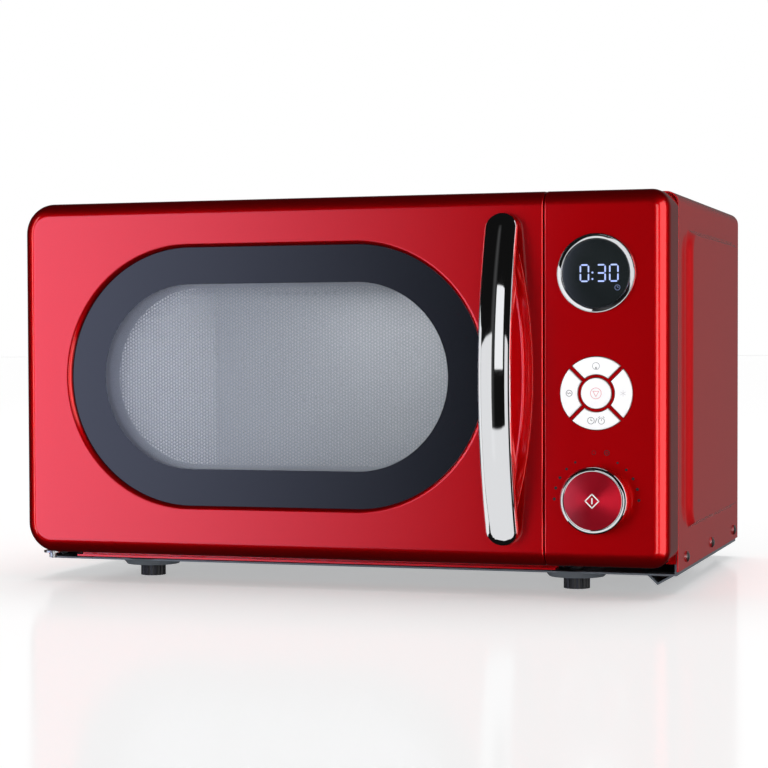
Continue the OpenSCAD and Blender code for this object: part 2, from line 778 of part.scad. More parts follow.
module choke_cover() {
    color([0.13, 0.13, 0.14]) from_front(door_back - cover_t, door_back) difference() {
        round_rect([-201.5, 25], [door_x1 - 4, front_z1 - 6], corner_r - 4);
        window_2d(66);
        for (z = latch_z) translate([latch_x - 3.3, z - 4.5]) square([6.6, 9 + latch_lift + 0.6]);
    }
}

// bowed bar: an arc in the y-z plane, cut to round ends as seen from the front
module handle() {
    zc = (handle_z[0] + handle_z[1]) / 2;
    half = (handle_z[1] - handle_z[0]) / 2;
    rise = handle_out - handle_t / 2 - 4;
    big = (half * half + rise * rise) / (2 * rise);
    color([0.88, 0.89, 0.91]) difference() {
        intersection() {
            translate([handle_x, face_y - handle_out + handle_t / 2 + big, zc]) rotate([0, 90, 0])
                rotate_extrude($fn = 256) translate([big, 0]) intersection() {
                    translate([-12 + handle_t / 2, 0]) circle(12);
                    translate([12 - handle_t / 2, 0]) circle(16);
                    square([40, handle_w], center = true);
                }
            from_front(face_y - handle_out - 5, face_y) union() {
                translate([handle_x - handle_w / 2, handle_z[0] + handle_w / 2])
                    square([handle_w, 2 * half - handle_w]);
                for (z = [handle_z[0] + handle_w / 2, handle_z[1] - handle_w / 2])
                    translate([handle_x, z]) circle(handle_w / 2);
            }
        }
        for (z = handle_z_posts()) bar_y(handle_x, z, 2.05, face_y - 3.5, face_y + 1);
    }
}

module handle_screws() {
    color([0.75, 0.76, 0.78]) for (z = handle_z_posts()) translate([handle_x, face_y + 9, z])
        rotate([-90, 0, 0]) screw(4, 2, 12);
}

module latch_hooks() {
    y0 = door_back - cover_t - 5;
    color([0.9, 0.9, 0.88]) {
        block([latch_x - 3, y0, 90], [latch_x + 3, y0 + 4, 196]);
        for (z = latch_z) {
            block([latch_x - 3, y0, z - 4], [latch_x + 3, door_back + 16, z + 4]);
            from_side(latch_x - 3, latch_x + 3)
                polygon([[door_back + 11, z - 4], [door_back + 16, z - 4], [door_back + 16, z - 5],
                    [door_back + 11, z - 7]]);
        }
    }
}

module latch_spring() {
    color([0.7, 0.71, 0.73]) for (i = [0:7]) translate([latch_x, door_back - cover_t - 3, 197 + 3 * i])
        rotate_extrude() translate([2.2, 0]) circle(0.5, $fn = 16);
}

cabinet_wrap();
base_plate();
rear_panel();
oven_cavity();
front_plate();
control_panel();
display_bezel();
display_lens();
display_module();
control_board();
board_components();
tact_switches();
rotary_encoder();
magnetron();
waveguide();
waveguide_cover();
hv_transformer();
hv_capacitor();
hv_diode();
fan_shroud();
fan_motor();
turntable_motor();
cavity_lamp();
interlock_bracket();
interlock_switches();
upper_hinge();
lower_hinge();
feet();
cabinet_screws();
cord_grommet();
noise_filter_board();
thermal_cutouts();
wall_spacers();
door_frame();
door_glass();
door_screen();
choke_cover();
handle();
handle_screws();
door_bushes();
latch_hooks();
latch_spring();
button_top();
button_right();
button_bottom();
button_left();
button_stop();
encoder_plunger();
encoder_shaft();
knob_skirt();
knob_ring();
knob_cap();
drive_coupler();
glass_tray();
roller_ring();
roller_1();
roller_2();
roller_3();
fan_blade();
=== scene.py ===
import json
import math
import bpy
from mathutils import Matrix, Vector

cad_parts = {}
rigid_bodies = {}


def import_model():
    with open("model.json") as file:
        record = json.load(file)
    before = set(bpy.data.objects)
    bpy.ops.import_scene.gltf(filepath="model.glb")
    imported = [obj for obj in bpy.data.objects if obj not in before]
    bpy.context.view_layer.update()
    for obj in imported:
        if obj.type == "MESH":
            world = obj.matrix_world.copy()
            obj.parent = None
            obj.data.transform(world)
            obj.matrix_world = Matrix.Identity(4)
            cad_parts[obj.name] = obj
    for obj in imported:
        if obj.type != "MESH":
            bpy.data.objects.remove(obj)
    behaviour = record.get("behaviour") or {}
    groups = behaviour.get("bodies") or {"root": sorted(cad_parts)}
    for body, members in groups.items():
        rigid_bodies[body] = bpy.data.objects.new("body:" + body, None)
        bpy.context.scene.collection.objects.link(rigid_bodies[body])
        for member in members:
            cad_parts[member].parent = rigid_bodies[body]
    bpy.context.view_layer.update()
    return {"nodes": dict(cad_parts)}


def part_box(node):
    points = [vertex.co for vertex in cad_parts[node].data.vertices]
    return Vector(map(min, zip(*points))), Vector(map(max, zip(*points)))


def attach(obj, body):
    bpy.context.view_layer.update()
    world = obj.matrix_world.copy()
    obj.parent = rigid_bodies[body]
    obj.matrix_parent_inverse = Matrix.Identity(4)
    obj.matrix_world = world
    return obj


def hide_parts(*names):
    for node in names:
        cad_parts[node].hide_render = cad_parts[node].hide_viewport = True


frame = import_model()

nodes = frame["nodes"]
MM = 0.001
bpy.ops.object.select_all(action="DESELECT")


# ---- base plate ----
# Pressed steel sheet under the oven, painted satin grey, with foot bosses and a gutter fold.
# It is screwed to the wrapper's sides, so only its finish is set here.
class Value:
    """A shader socket that can be used in ordinary sums."""

    def __init__(self, finish, socket):
        self.finish = finish
        self.socket = socket

    def sum(self, operation, first, second):
        return self.finish.node("Math", {"operation": operation}, {0: first, 1: second})

    def __add__(self, other):
        return self.sum("ADD", self, other)

    def __mul__(self, other):
        return self.sum("MULTIPLY", self, other)

    def above(self, level):
        return self.sum("GREATER_THAN", self, level)


class Finish:
    """One surface finish of the oven: a Principled shader and the nodes that feed it."""

    def __init__(self, name, sockets):
        self.material = bpy.data.materials.new(name)
        self.material.use_nodes = True
        self.tree = self.material.node_tree
        self.shader = self.tree.nodes["Principled BSDF"]
        self.feed(self.shader, sockets)
        self.place = self.node("TexCoord", {}, {}, "Object")

    def feed(self, target, sockets):
        for key, value in sockets.items():
            if isinstance(value, Value):
                self.tree.links.new(value.socket, target.inputs[key])
            else:
                target.inputs[key].default_value = value

    def node(self, kind, settings, sockets, output=0):
        made = self.tree.nodes.new("ShaderNode" + kind)
        for key, value in settings.items():
            setattr(made, key, value)
        self.feed(made, sockets)
        return Value(self, made.outputs[output])

    def grain(self, size, detail=2.0, stretch=(1, 1, 1)):
        """Noise whose spots are about `size` metres across, from 0 to 1."""
        place = self.node("Mapping", {}, {"Vector": self.place, "Scale": stretch})
        return self.node("TexNoise", {}, {"Vector": place, "Scale": 0.5 / size, "Detail": detail})

    def blend(self, factor, first, second):
        """Colour that goes from the first to the second as the factor rises."""
        return self.node("Mix", {"data_type": "RGBA"}, {0: factor, 6: first, 7: second}, 2)

    def bumps(self, height, distance):
        """Raised grain; the distance is its depth in metres."""
        bump = self.node("Bump", {}, {"Height": height, "Distance": distance, "Strength": 1.0})
        self.feed(self.shader, {"Normal": bump})

    def wear(self, *pieces):
        """Puts this finish on whole pieces."""
        for piece in pieces:
            if not piece.material_slots:
                piece.data.materials.append(self.material)
            for slot in piece.material_slots:
                slot.material = self.material


def painted(name, colour, rough, dust=0.12):
    """Stoved paint on sheet steel: faint orange peel and slow changes of shade."""
    deep = [c * (1 - dust) for c in colour] + [1]
    finish = Finish(name, {"Metallic": 0.0, "Coat Weight": 0.15, "Coat Roughness": 0.2})
    shade = finish.grain(0.05, 3.0)
    peel = finish.grain(0.0012, 1.0)
    finish.feed(finish.shader, {
        "Base Color": finish.blend(shade, deep, [*colour, 1]),
        "Roughness": shade * 0.12 + (rough - 0.06)})
    finish.bumps(peel, 0.00003)
    return finish


grey_paint = painted("base_grey_paint", (0.12, 0.14, 0.16), 0.42)
grey_paint.wear(nodes["base_plate"])


# ---- feet ----
# Four moulded rubber feet with ribbed sides, pushed into the base plate's bosses.
# Their ribs are in the solid already; the rubber is matt with a fine moulded grain.
def moulded(name, colour, rough, grain=0.0006):
    """Moulded plastic or rubber with a fine pressed grain."""
    finish = Finish(name, {})
    cloud = finish.grain(0.02, 2.0)
    pits = finish.grain(grain, 2.0)
    finish.feed(finish.shader, {
        "Base Color": finish.blend(cloud, [c * 0.85 for c in colour] + [1], [*colour, 1]),
        "Roughness": pits * 0.16 + (rough - 0.08)})
    finish.bumps(pits, 0.00003)
    return finish


rubber = moulded("foot_rubber", (0.012, 0.012, 0.014), 0.5)
rubber.wear(nodes["feet"], nodes["cord_grommet"])


# ---- oven chamber ----
# Folded and spot-welded steel box, finished in pale grey enamel, with its lamp holes and steam holes.
# Fine darker flecks in the enamel hide stains.
enamel = Finish("chamber_enamel", {"Coat Weight": 0.4, "Coat Roughness": 0.12})
enamel_fleck = enamel.grain(0.0009, 1.0).above(0.66)
enamel_shade = enamel.grain(0.06, 2.0)
enamel.feed(enamel.shader, {
    "Base Color": enamel.blend(enamel_fleck * 0.3, (0.72, 0.73, 0.75, 1), (0.25, 0.26, 0.28, 1)),
    "Roughness": enamel_shade * 0.1 + 0.3})
enamel.bumps(enamel.grain(0.0016, 1.0), 0.00004)
enamel.wear(nodes["oven_cavity"])


def only(piece):
    """Makes a piece the one that the next operators work on."""
    bpy.ops.object.select_all(action="DESELECT")
    piece.select_set(True)
    bpy.context.view_layer.objects.active = piece


def settle(name):
    """Names a new primitive and puts its place into its mesh."""
    piece = bpy.context.object
    piece.name = name
    only(piece)
    bpy.ops.object.transform_apply(location=True, rotation=True, scale=True)
    return piece


def smooth(piece, angle=32):
    """Smooth shading with crisp corners, and flat faces kept flat beside their rounded edges."""
    only(piece)
    bpy.ops.object.shade_smooth_by_angle(angle=math.radians(angle))
    weigh = piece.modifiers.new("weigh", "WEIGHTED_NORMAL")
    weigh.keep_sharp = True
    bpy.ops.object.modifier_apply(modifier=weigh.name)
    return piece


# ---- turntable track ----
# Round bead pressed up in the chamber floor, which the rollers run inside of.
# It is part of the same enamelled sheet.
tray_lo, tray_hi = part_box("glass_tray")
turn_centre = (tray_lo + tray_hi) / 2
floor_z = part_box("oven_cavity")[0].z + 1 * MM
bpy.ops.mesh.primitive_torus_add(location=(turn_centre.x, turn_centre.y, floor_z - 1.4 * MM),
                                 major_radius=106.5 * MM, minor_radius=2.2 * MM,
                                 major_segments=128, minor_segments=16)
track_bead = smooth(settle("turntable_track"), 60)
enamel.wear(track_bead)
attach(track_bead, "cabinet")


# ---- front plate ----
# Sheet-steel flange round the chamber mouth that the door closes against.
# It wears the same red lacquer as the door and the control panel.
def lacquer(name, colour, metal, rough, flake=0.35):
    """Candy lacquer: fine metal flake in deep red under a hard clear coat."""
    finish = Finish(name, {"Coat Weight": 1.0, "Coat Roughness": 0.018, "Coat IOR": 1.5,
                           "IOR": 1.5, "Metallic": metal})
    spark = finish.grain(0.0004, 0.0)
    cloud = finish.grain(0.09, 2.0)
    mix = spark * flake + cloud * 0.25
    dark = [c * 0.84 for c in colour] + [1]
    finish.feed(finish.shader, {
        "Base Color": finish.blend(mix, dark, [*colour, 1]),
        "Roughness": spark * 0.08 + (rough - 0.04)})
    return finish


front_red = lacquer("front_red_lacquer", (0.98, 0.0005, 0.004), 0.95, 0.42)
front_red.wear(nodes["front_plate"])


# ---- wrapper ----
# One sheet of steel bent over the top and both sides, with a raised panel pressed in each side
# and louvres cut through the left one. It is lacquered glossy red.
def box_between(name, low, high):
    low = Vector(low)
    high = Vector(high)
    bpy.ops.mesh.primitive_cube_add(size=1, location=(low + high) / 2, scale=[abs(v) for v in high - low])
    return settle(name)


def pick(piece, kind, test):
    """Opens a piece for editing with the vertices, edges or faces that pass a test selected."""
    only(piece)
    bpy.ops.object.mode_set(mode="EDIT")
    bpy.ops.mesh.select_mode(type=kind)
    bpy.ops.mesh.select_all(action="DESELECT")
    bpy.ops.object.mode_set(mode="OBJECT")
    mesh = piece.data
    if kind == "VERT":
        for vertex in mesh.vertices:
            vertex.select = test(vertex.co)
    if kind == "EDGE":
        for edge in mesh.edges:
            ends = [mesh.vertices[i].co for i in edge.vertices]
            edge.select = test(*ends)
    if kind == "FACE":
        for face in mesh.polygons:
            face.select = test(face.center, face.normal)
    bpy.ops.object.mode_set(mode="EDIT")


def close():
    bpy.ops.object.mode_set(mode="OBJECT")


def round_edges(piece, width, steps, test):
    """Rolls over the edges whose two ends pass a test."""
    pick(piece, "EDGE", test)
    bpy.ops.mesh.bevel(offset=width, segments=steps, affect="EDGES", clamp_overlap=False)
    close()


def near(value, target, slack=0.02 * MM):
    return abs(value - target) < slack


def apply(piece, modifier):
    only(piece)
    bpy.ops.object.modifier_apply(modifier=modifier.name)


def repeat(piece, count, step):
    """Lays out copies of a piece at even steps."""
    row = piece.modifiers.new("row", "ARRAY")
    row.count = count
    row.use_relative_offset = False
    row.use_constant_offset = True
    row.constant_offset_displace = step
    apply(piece, row)


def cut(piece, tool, operation="DIFFERENCE"):
    """Takes a tool's shape out of a piece, or joins it on, and throws the tool away."""
    change = piece.modifiers.new("cut", "BOOLEAN")
    change.operation = operation
    change.object = tool
    change.solver = "EXACT"
    apply(piece, change)
    bpy.data.objects.remove(tool)
    return piece


wrap_lo, wrap_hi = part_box("cabinet_wrap")
front_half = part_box("door_frame")[0].x * -1
emboss = wrap_hi.x - front_half
wrap_corner = 8 * MM
sheet = 1.2 * MM
press_lo = Vector((0, -79 * MM, 39 * MM))
press_hi = Vector((0, 141 * MM, 233 * MM))
slope_steps = 10
slope_up = 0.44


def wrapper_form(name, inward, run_on):
    """Bent sheet's outline as a solid, with both side pressings; inward is the sheet's thickness."""
    half = front_half - inward
    form = box_between(name, (-half, wrap_lo.y - run_on, wrap_lo.z - run_on),
                       (half, wrap_hi.y + run_on, wrap_hi.z - inward))
    round_edges(form, wrap_corner - inward, 10, lambda a, b: near(a.z, wrap_hi.z - inward)
                and near(b.z, wrap_hi.z - inward) and near(a.x, b.x))
    for side in (-1, 1):
        pressing = box_between("pressing", (side * (half - 6 * MM), press_lo.y, press_lo.z),
                               (side * half, press_hi.y, press_hi.z))
        round_edges(pressing, 14 * MM, 10, lambda a, b: near(a.y, b.y) and near(a.z, b.z))
        pick(pressing, "FACE", lambda c, n: n.x * side > 0.9)
        height = press_hi.z - press_lo.z
        depth = press_hi.y - press_lo.y
        for step in range(1, slope_steps + 1):
            pair = (step - 1, step)
            rise = [math.sin(math.pi / 2 * (t / slope_steps)) ** 2 * emboss for t in pair]
            move = (side * (rise[1] - rise[0]), 0, 0)
            bpy.ops.mesh.extrude_region_move(TRANSFORM_OT_translate={"value": move})
            shrink = [(1 - 2 * t * MM / depth, 1 - 2 * slope_up * t * MM / height) for t in pair]
            bpy.ops.transform.resize(value=(1, shrink[1][0] / shrink[0][0], shrink[1][1] / shrink[0][1]))
        close()
        cut(form, pressing, "UNION")
    return form


wrapper = wrapper_form("wrapper", 0, 0)
cut(wrapper, wrapper_form("wrapper_inside", sheet, 5 * MM))
louvre_lo = Vector((-front_half - 8 * MM, 52 * MM, 146 * MM))
louvre = box_between("louvre", louvre_lo, louvre_lo + Vector((14, 28, 3.5)) * MM)
round_edges(louvre, 1.6 * MM, 4, lambda a, b: near(a.y, b.y) and near(a.z, b.z))
repeat(louvre, 8, (0, 0, 9 * MM))
repeat(louvre, 2, (0, 36 * MM, 0))
cut(wrapper, louvre)
round_edges(wrapper, 0.35 * MM, 2, lambda a, b: near(a.y, b.y)
            and (near(a.y, wrap_lo.y) or near(a.y, wrap_hi.y)))
smooth(wrapper)
body_red = lacquer("body_red_enamel", (0.85, 0.002, 0.006), 0.45, 0.42, 0.2)
body_red.wear(wrapper)
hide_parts("cabinet_wrap")
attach(wrapper, "cabinet")


# ---- wrapper screws ----
# Nickel-plated dome-head screws through the foot of each side panel.
# They pull the wrapper against the base plate's turned-up flanges.
nickel = Finish("nickel_plate", {"Base Color": (0.8, 0.79, 0.8, 1), "Metallic": 1.0})
nickel.feed(nickel.shader, {"Roughness": nickel.grain(0.05, 3.0) * 0.08 + 0.24})
nickel.wear(nodes["cabinet_screws"])


# ---- rear panel ----
# Galvanised sheet with the fan's intake louvres, the exhaust louvres and the cord's hole.
# Its two black spacers keep the oven off the wall.
def bright_sheet(name, colour, rough, stretch=(1, 1, 1)):
    """Bare plated steel: spangled zinc or drawn metal with a faint lengthwise grain."""
    finish = Finish(name, {"Metallic": 1.0})
    spangle = finish.grain(0.009, 2.0)
    brush = finish.grain(0.0008, 2.0, stretch)
    finish.feed(finish.shader, {
        "Base Color": finish.blend(spangle, [c * 0.78 for c in colour] + [1], [*colour, 1]),
        "Roughness": brush * 0.2 + (rough - 0.1)})
    finish.bumps(brush, 0.00001)
    return finish


zinc = bright_sheet("zinc_sheet", (0.58, 0.6, 0.62), 0.4, (1, 1, 0.15))
zinc.wear(*[nodes[n] for n in ("rear_panel", "waveguide", "upper_hinge", "lower_hinge", "magnetron",
                               "turntable_motor", "rotary_encoder", "hv_capacitor")])
black_plastic = moulded("black_plastic", (0.018, 0.018, 0.02), 0.42)
black_plastic.wear(*[nodes[n] for n in ("wall_spacers", "display_module", "tact_switches", "hv_diode",
                                        "interlock_switches", "thermal_cutouts", "fan_blade")])


# ---- parts in the bay behind the controls ----
# Fan and its motor, transformer, boards, lamp and the mica cover of the waveguide.
# They are hidden in use, and each keeps the shape of its solid.
nylon = moulded("natural_nylon", (0.72, 0.71, 0.66), 0.38, 0.001)
nylon.wear(*[nodes[n] for n in ("fan_shroud", "interlock_bracket", "latch_hooks", "door_bushes",
                                "drive_coupler", "roller_ring", "roller_1", "roller_2", "roller_3",
                                "encoder_plunger")])
laminations = Finish("laminated_iron", {"Metallic": 0.7})
layers = laminations.node("TexWave", {"bands_direction": "Y"},
                          {"Vector": laminations.place, "Scale": 160.0, "Distortion": 0.3})
laminations.feed(laminations.shader, {
    "Base Color": laminations.blend(layers, (0.09, 0.055, 0.04, 1), (0.22, 0.17, 0.13, 1)),
    "Roughness": layers * 0.15 + 0.4})
laminations.bumps(layers, 0.00008)
laminations.wear(nodes["hv_transformer"], nodes["fan_motor"])
solder_mask = Finish("board_green", {"Coat Weight": 0.5, "Coat Roughness": 0.1})
tracks = solder_mask.node("TexBrick", {}, {"Vector": solder_mask.place, "Scale": 90.0, "Mortar Size": 0.03})
solder_mask.feed(solder_mask.shader, {
    "Base Color": solder_mask.blend(tracks, (0.02, 0.12, 0.05, 1), (0.015, 0.2, 0.08, 1)),
    "Roughness": solder_mask.grain(0.004) * 0.2 + 0.25})
solder_mask.wear(nodes["control_board"], nodes["noise_filter_board"])
parts_black = moulded("component_black", (0.03, 0.03, 0.034), 0.35, 0.002)
parts_black.wear(nodes["board_components"])
mica = Finish("mica_sheet", {"Coat Weight": 0.3})
flakes = mica.node("TexVoronoi", {}, {"Vector": mica.place, "Scale": 160.0}, "Distance")
mica.feed(mica.shader, {
    "Base Color": mica.blend(flakes, (0.52, 0.47, 0.36, 1), (0.72, 0.68, 0.56, 1)),
    "Roughness": flakes * 0.3 + 0.3})
mica.wear(nodes["waveguide_cover"])
lamp_glass = Finish("lamp_white", {"Emission Strength": 0.4})
lamp_cloud = lamp_glass.grain(0.01)
lamp_glass.feed(lamp_glass.shader, {
    "Base Color": lamp_glass.blend(lamp_cloud, (0.8, 0.76, 0.66, 1), (0.9, 0.88, 0.8, 1)),
    "Emission Color": lamp_glass.blend(lamp_cloud, (1, 0.85, 0.6, 1), (1, 0.92, 0.75, 1)),
    "Roughness": lamp_cloud * 0.1 + 0.25})
lamp_glass.wear(nodes["cavity_lamp"])
bright_steel = bright_sheet("bright_steel", (0.66, 0.67, 0.69), 0.3)
bright_steel.wear(nodes["handle_screws"], nodes["latch_spring"], nodes["encoder_shaft"])


# ---- control panel ----
# Moulded front beside the door, lacquered candy red. Its outer edges roll back like the door's,
# and it has openings for the display, the five keys and the knob's shaft.
def drum(name, x, z, radius, y0, y1, steps=96):
    """Round block whose axis runs front to back, from y0 at the front to y1."""
    bpy.ops.mesh.primitive_cone_add(vertices=steps, radius1=radius, radius2=radius, depth=y1 - y0,
                                    location=(x, (y0 + y1) / 2, z), rotation=(math.pi / 2, 0, 0))
    return settle(name)


def front_shell(name, low, high, round_sides, wall, corner, roll, blocks=()):
    """Hollow front with rolled edges; round_sides lists the x values of its rounded ends, and blocks
    are boxes inside that stay solid."""
    shell = box_between(name, low, high)
    round_edges(shell, corner, 16, lambda a, b: near(a.z, b.z) and near(a.x, b.x)
                and any(near(a.x, side) for side in round_sides))
    square_x = [x for x in (low.x, high.x) if x not in round_sides]
    round_edges(shell, roll, 14, lambda a, b: near(a.y, low.y) and near(b.y, low.y)
                and not (near(a.x, square_x[0]) and near(b.x, square_x[0])))
    round_edges(shell, 1.1 * MM, 3, lambda a, b: near(a.x, square_x[0]) and near(b.x, square_x[0])
                and a.y < high.y - 1 * MM and b.y < high.y - 1 * MM)
    inside = box_between("inside", (low.x + wall, low.y + wall + 0.5 * MM, low.z + wall),
                         (high.x - wall, high.y + 5 * MM, high.z - wall))
    round_edges(inside, corner - wall, 8, lambda a, b: near(a.x, b.x) and near(a.z, b.z))
    round_edges(inside, 6 * MM, 4, lambda a, b: near(a.y, low.y + wall + 0.5 * MM) and near(a.y, b.y))
    for first, second in blocks:
        cut(inside, box_between("block", first, second))
    return cut(shell, inside)


panel_lo, panel_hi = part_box("control_panel")
face_y = panel_lo.y
display_lo, display_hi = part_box("display_bezel")
display = (display_lo + display_hi) / 2
stop_lo, stop_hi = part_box("button_stop")
pad = (stop_lo + stop_hi) / 2
knob_lo, knob_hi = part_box("knob_skirt")
knob = (knob_lo + knob_hi) / 2
stop_r = (stop_hi.x - stop_lo.x) / 2
hub_r = 11.8 * MM
rib_w = 2.6 * MM
pad_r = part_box("button_right")[1].x - pad.x
panel = front_shell("control_panel_skin", panel_lo, panel_hi, [panel_hi.x], 3 * MM, 12 * MM, 10 * MM)


def sector(name, turn, gap, y0, y1):
    """One quarter of the ring round the stop key, turned by a quarter turn each."""
    piece = drum(name, pad.x, pad.z, pad_r + gap, y0, y1, 128)
    cut(piece, drum("hub", pad.x, pad.z, hub_r - gap, y0 - 1 * MM, y1 + 1 * MM))
    for side in (-1, 1):
        angle = math.radians(90 * turn + 45 * side)
        blade = box_between("blade", (-60 * MM, y0 - 1 * MM, -60 * MM),
                            (60 * MM, y1 + 1 * MM, rib_w / 2 - gap))
        spin = Matrix.Rotation(-angle, 4, "Y") if side < 0 else Matrix.Rotation(math.pi - angle, 4, "Y")
        blade.data.transform(Matrix.Translation((pad.x, 0, pad.z)) @ spin)
        cut(piece, blade)
    return piece


gap = 0.4 * MM
through = (face_y - 5 * MM, face_y + 5 * MM)
cut(panel, drum("display_hole", display.x, display.z, display_hi.x - display.x - 2.4 * MM, *through))
cut(panel, drum("stop_hole", pad.x, pad.z, stop_r + gap, *through))
for quarter in range(4):
    cut(panel, sector("sector_hole", quarter, gap, *through))
cut(panel, drum("shaft_hole", knob.x, knob.z, 6 * MM, *through))
smooth(panel)
front_red.wear(panel)
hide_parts("control_panel")
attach(panel, "cabinet")


# ---- display ----
# Chromed ring round a dark lens, with lit clock digits and a small clock sign behind it.
# The ring is glued into the panel's round opening.
def lathe(name, x, z, outline, steps=96, solid=False):
    """Turned piece round a front-to-back axis; the outline lists (radius, y) from back to front.
    A solid piece has a disc at each end, and a ring's outline comes back to its start."""
    bpy.ops.mesh.primitive_circle_add(vertices=steps, radius=outline[0][0], location=(x, outline[0][1], z),
                                      rotation=(math.pi / 2, 0, 0), fill_type="NGON" if solid else "NOTHING")
    piece = settle(name)
    pick(piece, "VERT", lambda v: True)
    for (r0, y0), (r1, y1) in zip(outline, outline[1:]):
        bpy.ops.mesh.extrude_region_move(TRANSFORM_OT_translate={"value": (0, y1 - y0, 0)})
        bpy.ops.transform.resize(value=(r1 / r0, 1, r1 / r0), center_override=(x, y1, z))
    return piece


def seal(piece):
    """Merges the doubled points of a turned piece and turns its faces outwards."""
    bpy.ops.mesh.select_all(action="SELECT")
    bpy.ops.mesh.remove_doubles(threshold=0.005 * MM)
    bpy.ops.mesh.normals_make_consistent(inside=False)
    close()
    return piece


def arc(centre_r, centre_y, radius, start, end, steps):
    """Points of a round stretch of an outline, with angles in degrees from straight out."""
    spots = [math.radians(start + (end - start) * i / steps) for i in range(steps + 1)]
    return [(centre_r + radius * math.cos(a), centre_y - radius * math.sin(a)) for a in spots]


chrome = Finish("chrome", {"Base Color": (0.83, 0.84, 0.86, 1), "Metallic": 1.0})
chrome_haze = chrome.grain(0.03, 3.0)
chrome.feed(chrome.shader, {"Roughness": chrome_haze * 0.05 + 0.015})
chrome.bumps(chrome.grain(0.012, 1.0), 0.00002)
bezel_r = display_hi.x - display.x
bezel_front = display_lo.y
ring_inner = bezel_r - 3.6 * MM
bezel_outline = ([(bezel_r - 0.05 * MM, face_y)]
                 + arc(bezel_r - 1.3 * MM, bezel_front + 1.25 * MM, 1.25 * MM, 0, 80, 6)
                 + arc(ring_inner + 1.1 * MM, bezel_front + 1.5 * MM, 1.1 * MM, 100, 180, 5)
                 + [(ring_inner, face_y + 2.6 * MM), (bezel_r - 2.5 * MM, face_y + 2.6 * MM),
                    (bezel_r - 2.5 * MM, face_y), (bezel_r - 0.05 * MM, face_y)])
bezel = smooth(seal(lathe("display_ring", display.x, display.z, bezel_outline)), 50)
chrome.wear(bezel)
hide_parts("display_bezel")
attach(bezel, "cabinet")
smoked = Finish("display_lens", {"Coat Weight": 1.0, "Coat Roughness": 0.02, "IOR": 1.5})
smoked_cloud = smoked.grain(0.02)
smoked.feed(smoked.shader, {
    "Base Color": smoked.blend(smoked_cloud, (0.006, 0.008, 0.009, 1), (0.014, 0.019, 0.02, 1)),
    "Roughness": smoked_cloud * 0.08 + 0.1})
lens_outline = [(ring_inner - 0.05 * MM, face_y + 1.2 * MM), (ring_inner - 0.05 * MM, face_y - 0.6 * MM),
                (ring_inner - 0.6 * MM, face_y - 0.9 * MM), (ring_inner * 0.5, face_y - 1.0 * MM)]
lens = smooth(seal(lathe("display_window", display.x, display.z, lens_outline, solid=True)), 30)
smoked.wear(lens)
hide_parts("display_lens")
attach(lens, "cabinet")


def joined(name, pieces):
    """Joins several small pieces into one."""
    bpy.ops.object.select_all(action="DESELECT")
    for piece in pieces:
        piece.select_set(True)
    bpy.context.view_layer.objects.active = pieces[0]
    bpy.ops.object.join()
    pieces[0].name = name
    return pieces[0]


def stroke(start, end, y, width, thick=0.08 * MM, point=0.0):
    """Flat printed or lit bar between two places on the front, with pointed ends if asked."""
    start = Vector(start)
    end = Vector(end)
    middle = (start + end) / 2
    along = end - start
    bpy.ops.mesh.primitive_cube_add(size=1, location=(middle.x, y - thick / 2, middle.y),
                                    rotation=(0, -math.atan2(along.y, along.x), 0),
                                    scale=(along.length, thick, width))
    piece = settle("stroke")
    if point:
        pick(piece, "EDGE", lambda a, b: near(a.x, b.x) and near(a.z, b.z))
        bpy.ops.mesh.bevel(offset=point, segments=1, affect="EDGES")
        close()
    return piece


def hoop(x, z, y, radius, width, thick=0.08 * MM, steps=40):
    """Flat printed ring."""
    outer = drum("hoop", x, z, radius + width / 2, y - thick, y, steps)
    return cut(outer, drum("hole", x, z, radius - width / 2, y - 1 * MM, y + 1 * MM, steps))


digit_h = 10.1 * MM
digit_w = 5.1 * MM
lit_w = 0.95 * MM
segments = {"a": ((0, 2), (1, 2)), "b": ((1, 2), (1, 1)), "c": ((1, 1), (1, 0)), "d": ((0, 0), (1, 0)),
            "e": ((0, 1), (0, 0)), "f": ((0, 2), (0, 1)), "g": ((0, 1), (1, 1))}
shown = {"0": "abcdef", "3": "abcdg"}
digit_y = face_y - 1.0 * MM
digit_z = display.z
lit = []
for digit, left in (("0", -9.8 * MM), ("3", 0.7 * MM), ("0", 8.7 * MM)):
    for part in shown[digit]:
        (ax, az), (bx, bz) = segments[part]
        start = Vector((display.x + left + ax * digit_w, digit_z + (az - 1) * digit_h / 2))
        end = Vector((display.x + left + bx * digit_w, digit_z + (bz - 1) * digit_h / 2))
        trim = (end - start).normalized() * 0.45 * MM
        lit.append(stroke(start + trim, end - trim, digit_y, lit_w, point=0.35 * MM))
for dz in (0.3 * MM, -3.7 * MM):
    lit.append(drum("colon", display.x - 2.2 * MM, digit_z + dz, 0.6 * MM, digit_y - 0.08 * MM, digit_y, 20))
digits = joined("clock_digits", lit)
glow = Finish("clock_light", {"Emission Strength": 1.0, "Roughness": 0.4})
glow_even = glow.grain(0.004)
glow.feed(glow.shader, {
    "Base Color": glow.blend(glow_even, (0.1, 0.14, 0.25, 1), (0.14, 0.18, 0.3, 1)),
    "Emission Color": glow.blend(glow_even, (0.32, 0.42, 0.86, 1), (0.42, 0.5, 0.92, 1))})
glow.wear(digits)
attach(digits, "cabinet")
sign_x = display.x + 13.5 * MM
sign_z = display.z - 9.1 * MM
clock_sign = joined("clock_sign", [
    hoop(sign_x, sign_z, digit_y, 1.6 * MM, 0.35 * MM, steps=28),
    stroke((sign_x, sign_z), (sign_x, sign_z + 1.0 * MM), digit_y, 0.3 * MM),
    stroke((sign_x, sign_z), (sign_x + 0.8 * MM, sign_z), digit_y, 0.3 * MM)])
dim_glow = Finish("clock_sign_light", {"Emission Strength": 0.35, "Roughness": 0.4})
dim_even = dim_glow.grain(0.003)
